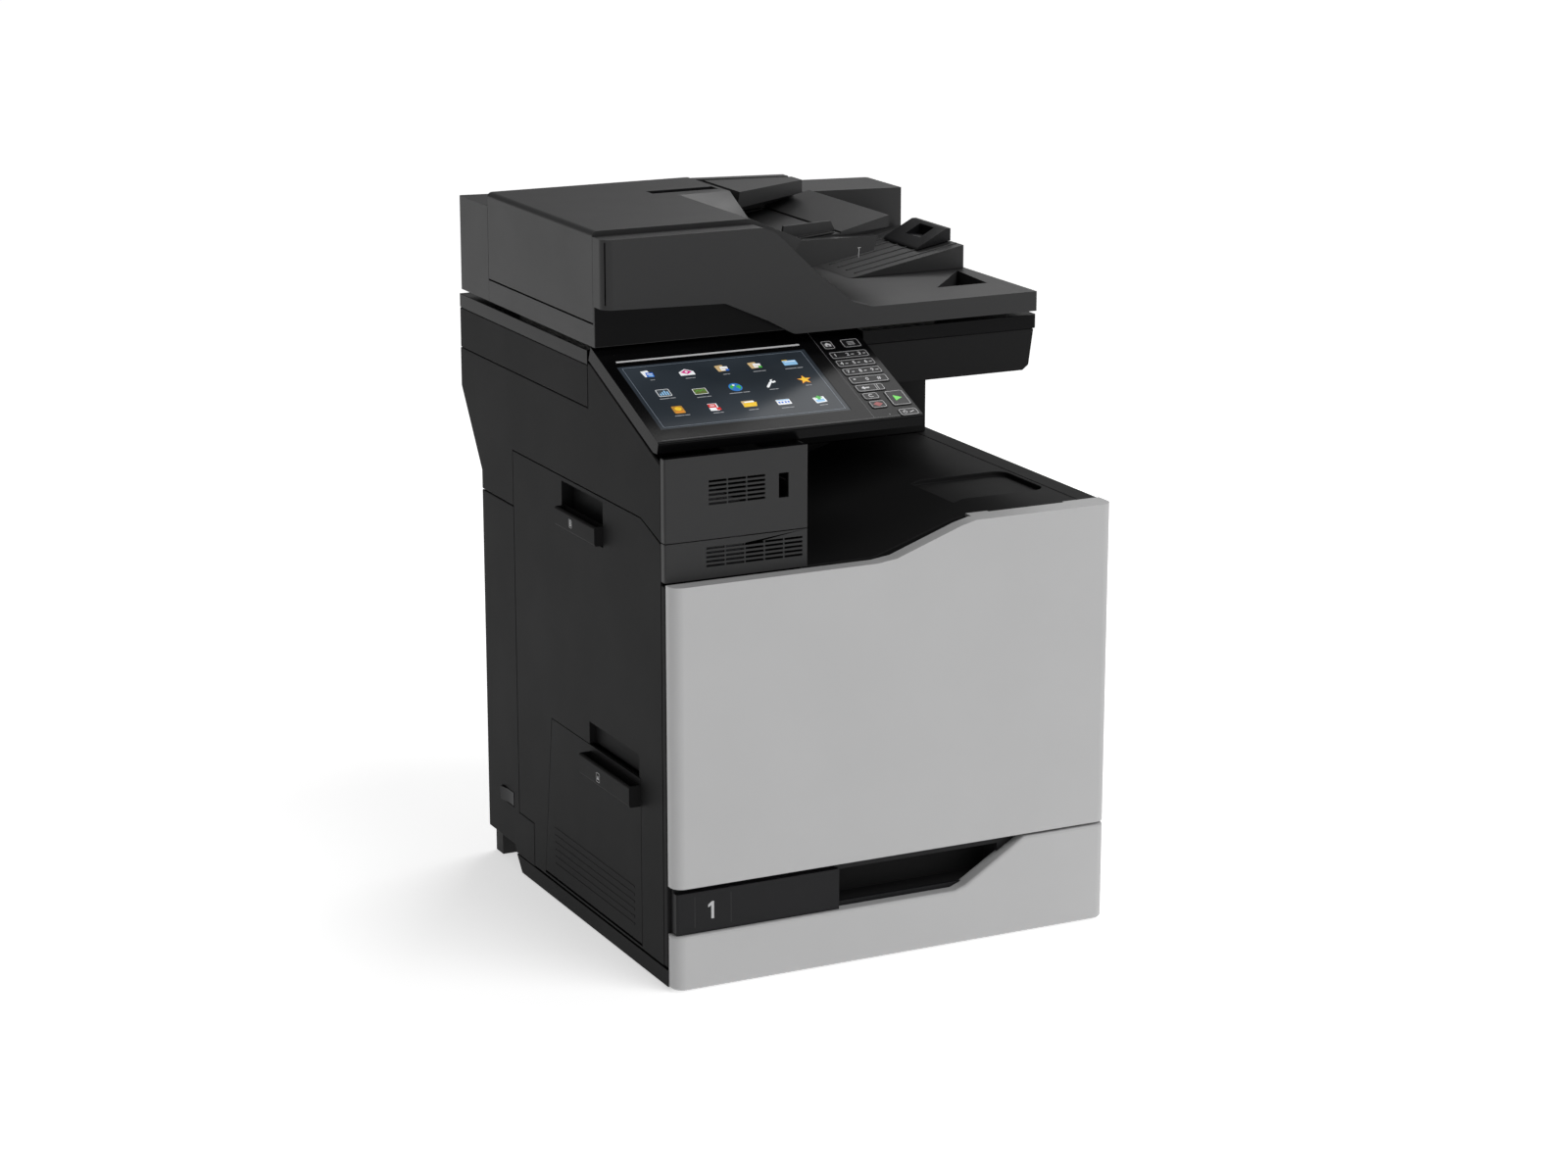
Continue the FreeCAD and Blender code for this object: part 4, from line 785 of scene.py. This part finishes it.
class COPIER_OT_keys(bpy.types.Operator):
    """Print every key of the keypad: its light outline, its digits and its signs"""
    bl_idname = "copier.keys"
    bl_label = "Key prints"

    def execute(self, context):
        # Painted light: the white and the red key prints glow a little, though they are no lamps.
        printed_ink("key_ink_painted_glow", (0.60, 0.60, 0.61), 0.22)
        printed_ink("key_green", (0.10, 0.55, 0.05), 0.6)
        printed_ink("key_red_painted_glow", (0.30, 0.03, 0.03), 0.2)
        ink = finish_of("key_ink_painted_glow")
        level = 0.81
        columns = (280.5, 296, 311)
        rows = {
            "number_row_1": (64.25, ("1", "2", "3")), "number_row_2": (81.75, ("4", "5", "6")),
            "number_row_3": (99.25, ("7", "8", "9")), "number_row_4": (116.75, ("*", "0", "#")),
        }
        for node, (s, signs) in rows.items():
            pieces = [outline_ring("row_outline", rounded_outline(273.2, 319.8, -s - 6.2, -s + 6.2, 2.5),
                                   0.5, level, PRINT_THICK, ink)]
            for x, sign in zip(columns, signs):
                pieces.append(glyph("digit", sign, x - 1.5, -s, 8.0, level + 0.03, ink, 0.1))
                if sign not in "1*0#":
                    pieces.append(tile("letters", x + 4.4, s + 0.4, 3.6, 1.2, level, "key_ink_painted_glow", 0.3))
            on_panel(node + "_print", pieces, BODY_OF[node])

        outlines = {
            "home_key": (273.2, 285.8, 34.2, 49.8), "menu_key": (298.2, 319.8, 34.2, 49.8),
            "back_key": (273.2, 306.8, 127.7, 139.8), "clear_key": (274.2, 291.8, 144.7, 155.8),
            "stop_key": (275.2, 292.8, 161.2, 173.8), "start_key": (302.2, 323.8, 145.2, 172.8),
            "power_key": (302.2, 323.8, 182.2, 193.8),
        }
        signs = {}
        house = [(-3.6, -3.2), (3.6, -3.2), (3.6, 0.6), (4.6, 0.6), (0, 4.8), (-4.6, 0.6), (-3.6, 0.6)]
        door = [(-1.2, -3.0), (1.2, -3.0), (1.2, 0), (-1.2, 0)]
        signs["home_key"] = [
            patch("house", 279.5, 42, house, level, "key_ink_painted_glow"),
            patch("house_door", 279.5, 42, door, level + LAYER, "lamp_grey"),
        ]
        signs["menu_key"] = [
            tile("menu_line_%d" % index, 309, 39.5 + 2.6 * index, 9, 0.8, level, "key_ink_painted_glow", 0.3)
            for index in range(3)]
        arrow = [(-5, 0), (-1, 3.4), (-1, 1.2), (5, 1.2), (5, -1.2), (-1, -1.2), (-1, -3.4)]
        signs["back_key"] = [
            patch("back_arrow", 284, 133.7, arrow, level, "key_ink_painted_glow"),
            tile("back_split", 297.5, 133.7, 0.6, 10, level, "key_ink_painted_glow", 0.2),
            tile("back_split_b", 300, 133.7, 0.6, 10, level, "key_ink_painted_glow", 0.2),
        ]
        signs["clear_key"] = [glyph("clear_sign", "C", 283, -150.2, 8.5, level + 0.03, ink, 0.1)]
        diamond = [(-6.0, 0), (0, -4.6), (6.0, 0), (0, 4.6)]
        signs["stop_key"] = [patch("stop_sign", 284, 167.5, diamond, level, "key_red_painted_glow")]
        play = [(-4.2, -5.4), (5.2, 0), (-4.2, 5.4)]
        signs["start_key"] = [patch("start_sign", 313, 159, play, level, "key_green")]
        circle = [(308.5 + x, -188 + y) for x, y in circle_corners(2.6, 20)]
        signs["power_key"] = [
            outline_ring("power_ring", circle, 0.6, level, PRINT_THICK, ink),
            tile("power_bar", 308.5, 186.2, 0.7, 3, level, "key_ink_painted_glow", 0.2),
            tile("sleep_bar", 317, 188, 7, 1, level, "key_ink_painted_glow", 0.3, 24),
        ]
        for node, (left, right, top, bottom) in outlines.items():
            ring = outline_ring(node + "_outline", rounded_outline(left, right, -bottom, -top, 2.6),
                                0.5, level, PRINT_THICK, ink)
            on_panel(node + "_print", [ring] + signs[node], BODY_OF[node])
        return {"FINISHED"}


class COPIER_OT_labels(bpy.types.Operator):
    """Print the tray's number and its field, the toner colours and the marks on the side grips"""
    bl_idname = "copier.labels"
    bl_label = "Labels"

    def execute(self, context):
        ink = printed_ink("label_ink", (0.50, 0.50, 0.51), 0.0)
        faint = printed_ink("label_line", (0.006, 0.006, 0.006), 0.0)
        low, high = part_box("tray_handle_panel")
        face = Vector((low.x - 4 * MM, low.y - PROUD, 0))
        stroke = [(50, 83), (50, 103.5), (47.4, 103.5), (42.8, 100), (42.8, 96.8), (46.6, 98.8), (46.6, 83)]
        number = flat_plate("tray_number", stroke, 0, PRINT_THICK, ink)
        settle(upright(number, face, "front"), BODY_OF["tray_handle_panel"])
        lines = [
            flat_plate("field_line_%d" % index, rounded_outline(x, x + 0.6, 75, 111, 0.1, 1), 0,
                       PRINT_THICK, faint)
            for index, x in enumerate((26, 71))]
        field = upright(join_pieces("tray_field", lines), face, "front")
        settle(field, BODY_OF["tray_handle_panel"])

        low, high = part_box("toner_cartridges")
        cartridge_pitch = 108 * MM
        first_middle = low.x + 42 * MM
        colours = (("toner_cyan", (0.0, 0.30, 0.55)), ("toner_magenta", (0.55, 0.01, 0.20)),
                   ("toner_yellow", (0.75, 0.52, 0.01)), ("toner_black", (0.05, 0.05, 0.05)))
        for index, (name, colour) in enumerate(colours):
            label = flat_plate(name + "_label", rounded_outline(-16, 16, -4, 4, 1.5, 3), 0, 0.1,
                               printed_ink(name, colour, 0.0))
            face = Vector((first_middle + cartridge_pitch * index, low.y - PROUD, high.z - 22 * MM))
            settle(upright(label, face, "front"), BODY_OF["toner_cartridges"])

        low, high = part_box("side_door_handle")
        face = Vector((low.x - PROUD, high.y, low.z))
        letter = glyph("grip_letter", "B", 46, 11.5, 10, 0, ink, 0.15)
        ring = outline_ring("grip_ring", rounded_outline(41.5, 50.5, 6.5, 16.5, 2), 0.4, 0,
                            PRINT_THICK, ink)
        mark = upright(join_pieces("grip_mark", [letter, ring]), face, "left")
        settle(mark, BODY_OF["side_door_handle"])

        low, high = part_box("feeder_door")
        face = Vector((low.x - PROUD, low.y + 144 * MM, low.z + 165 * MM))
        sheet = outline_ring("feeder_sheet", rounded_outline(50, 60, 5, 16, 1.5), 0.5, 0,
                             PRINT_THICK, ink)
        fold = flat_plate("feeder_fold", [(52, 8), (58, 8), (55, 13)], 0, PRINT_THICK, ink)
        mark = upright(join_pieces("feeder_mark", [sheet, fold]), face, "left")
        settle(mark, BODY_OF["feeder_door"])
        return {"FINISHED"}


class COPIER_OT_feeder_shade_and_print(bpy.types.Operator):
    """Lay painted shade, as dark plates, in the recess under the feeder's front and on the finger slot's
    back wall, and print the tray's size mark
    """
    bl_idname = "copier.feeder_trim"
    bl_label = "Feeder shade and print"

    def execute(self, context):
        low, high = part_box("feeder_base")
        back = low.y + 27 * MM
        # Painted shade: a black gloss plate on the recessed wall under the feeder's front, dark where the
        # recess lies in shade.
        recess_shade_plate = flat_plate("recess_painted_shade", rounded_outline(1, 262, 0.6, 48, 0.5, 1), 0, 0.3,
                            finish_of("black_gloss"))
        settle(upright(recess_shade_plate, Vector((low.x, back, low.z)), "front"), BODY_OF["feeder_base"])

        low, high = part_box("feeder_cover")
        # Painted shade: a black plate on the back wall of the finger slot, dark where the slot lies in
        # shade.
        shade = flat_plate("slot_painted_shade", rounded_outline(171.2, 256.8, 93, 103.2, 0.5, 1), 0, 0.2,
                           finish_of("black_plastic"))
        wall = Vector((low.x, low.y + 233.3 * MM, low.z))
        settle(upright(shade, wall, "front"), BODY_OF["feeder_cover"])

        ink = finish_of("label_ink")
        low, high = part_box("input_tray")
        line = flat_plate("size_line", [(104, 14), (104.8, 14), (105.6, 25), (104.8, 25)], 0,
                          PRINT_THICK, ink)
        cap = flat_plate("size_cap", [(103.4, 25), (107.4, 25.4), (107.4, 26.2), (103.4, 25.8)], 0,
                         PRINT_THICK, ink)
        corner = Vector((low.x, low.y - PROUD, low.z))
        mark = upright(join_pieces("size_mark", [line, cap]), corner, "front")
        settle(mark, BODY_OF["input_tray"])
        return {"FINISHED"}


class COPIER_OT_block_shadow(bpy.types.Operator):
    """Paint the shadow that the panel's lip casts on the exit block's ledge, as a black gloss plate over
    the ledge top
    """
    bl_idname = "copier.block_trim"
    bl_label = "Block shadow"

    def execute(self, context):
        low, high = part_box("exit_block")
        # Painted shadow: a black gloss plate on the ledge top, dark where the panel's lip shades it.
        ledge = flat_plate("ledge_painted_shadow", rounded_outline(1, 174, 0.8, 9, 0.8, 2), 0, 0.3,
                           finish_of("black_gloss"))
        ledge.matrix_world = Matrix.Translation((low.x, low.y, high.z + PROUD)) @ ledge.matrix_world
        settle(ledge, BODY_OF["exit_block"])
        return {"FINISHED"}


class COPIER_OT_inner_parts(bpy.types.Operator):
    """Give the inner parts that stay as they are in the CAD their finishes"""
    bl_idname = "copier.inner_parts"
    bl_label = "Inner parts"

    def execute(self, context):
        for name, node in frame["nodes"].items():
            material = finish_of(SLOT_OF[name])
            if not node.material_slots:
                node.data.materials.append(material)
            for slot in node.material_slots:
                slot.material = material
        return {"FINISHED"}


class COPIER_OT_stage(bpy.types.Operator):
    """Set up the pale floor, the soft lights and the camera"""
    bl_idname = "copier.stage"
    bl_label = "Stage"

    def execute(self, context):
        stage = context.scene.copier_stage
        scene = context.scene
        bpy.ops.object.select_all(action="DESELECT")
        bpy.ops.mesh.primitive_plane_add(size=40, location=(0, 0, 0))
        floor = context.active_object
        floor.name = "studio_floor"
        material = new_material("studio_white")
        add_surface(material, "White floor paint", {
            "Base Color": (0.9, 0.9, 0.9, 1), "Roughness": 0.7,
            "Emission Color": (1, 1, 1, 1), "Emission Strength": 0.56})
        floor.data.materials.append(material)

        world = bpy.data.worlds.new("studio")
        scene.world = world
        world.use_nodes = True
        sky = world.node_tree.nodes["Background"]
        sky.inputs["Color"].default_value = (1, 1, 1, 1)
        sky.inputs["Strength"].default_value = 0.24

        bpy.ops.object.light_add(type="SUN", location=(1.6, -2.4, 3.4))
        key = context.active_object
        key.name = "key_light"
        key.data.energy = stage.key_power
        key.data.angle = math.radians(40)
        key.rotation_euler = (-Vector((1.0, -1.7, 2.3))).to_track_quat("-Z", "Y").to_euler()
        lights = (
            ("front_light", (2.3, -3.0, 0.9), 1.4, stage.fill_power),
            ("top_light", (1.3, 1.2, 2.4), 1.6, stage.top_power),
        )
        for name, place, size, power in lights:
            bpy.ops.object.light_add(type="AREA", location=place)
            lamp = context.active_object
            lamp.name = name
            lamp.data.size = size
            lamp.data.energy = power
            aim = Vector((0, 0, 0.45)) - Vector(place)
            lamp.rotation_euler = aim.to_track_quat("-Z", "Y").to_euler()

        bpy.ops.object.camera_add(
            location=stage.camera_place,
            rotation=(math.pi / 2 - stage.pitch, 0, -stage.turn))
        camera = context.active_object
        camera.name = "studio_camera"
        camera.data.lens = stage.lens
        camera.data.sensor_width = 36
        camera.data.clip_end = 100
        scene.camera = camera
        scene.view_settings.view_transform = "Standard"
        return {"FINISHED"}


class COPIER_PT_panel(bpy.types.Panel):
    """Lists the steps that build the copier's looks"""
    bl_label = "Office copier"
    bl_space_type = "VIEW_3D"
    bl_region_type = "UI"
    bl_category = "Copier"

    def draw(self, context):
        scene = context.scene
        for group in (scene.copier_finish, scene.copier_edges, scene.copier_stage):
            column = self.layout.column()
            for name in group.__annotations__:
                column.prop(group, name)
        for step in STEPS:
            self.layout.operator(step.bl_idname)


STEPS = (
    COPIER_OT_covers,
    COPIER_OT_screen,
    COPIER_OT_panel_trim,
    COPIER_OT_keys,
    COPIER_OT_labels,
    COPIER_OT_feeder_shade_and_print,
    COPIER_OT_block_shadow,
    COPIER_OT_inner_parts,
    COPIER_OT_stage,
)
GROUPS = (CopierFinish, CopierEdges, CopierStage)


def register():
    for item in GROUPS + STEPS + (COPIER_PT_panel,):
        bpy.utils.register_class(item)
    bpy.types.Scene.copier_finish = PointerProperty(type=CopierFinish)
    bpy.types.Scene.copier_edges = PointerProperty(type=CopierEdges)
    bpy.types.Scene.copier_stage = PointerProperty(type=CopierStage)


def unregister():
    del bpy.types.Scene.copier_finish
    del bpy.types.Scene.copier_edges
    del bpy.types.Scene.copier_stage
    for item in reversed(GROUPS + STEPS + (COPIER_PT_panel,)):
        bpy.utils.unregister_class(item)


def main():
    register()
    make_finishes()
    for step in STEPS:
        area, name = step.bl_idname.split(".")
        getattr(getattr(bpy.ops, area), name)()


if __name__ == "__main__":
    main()
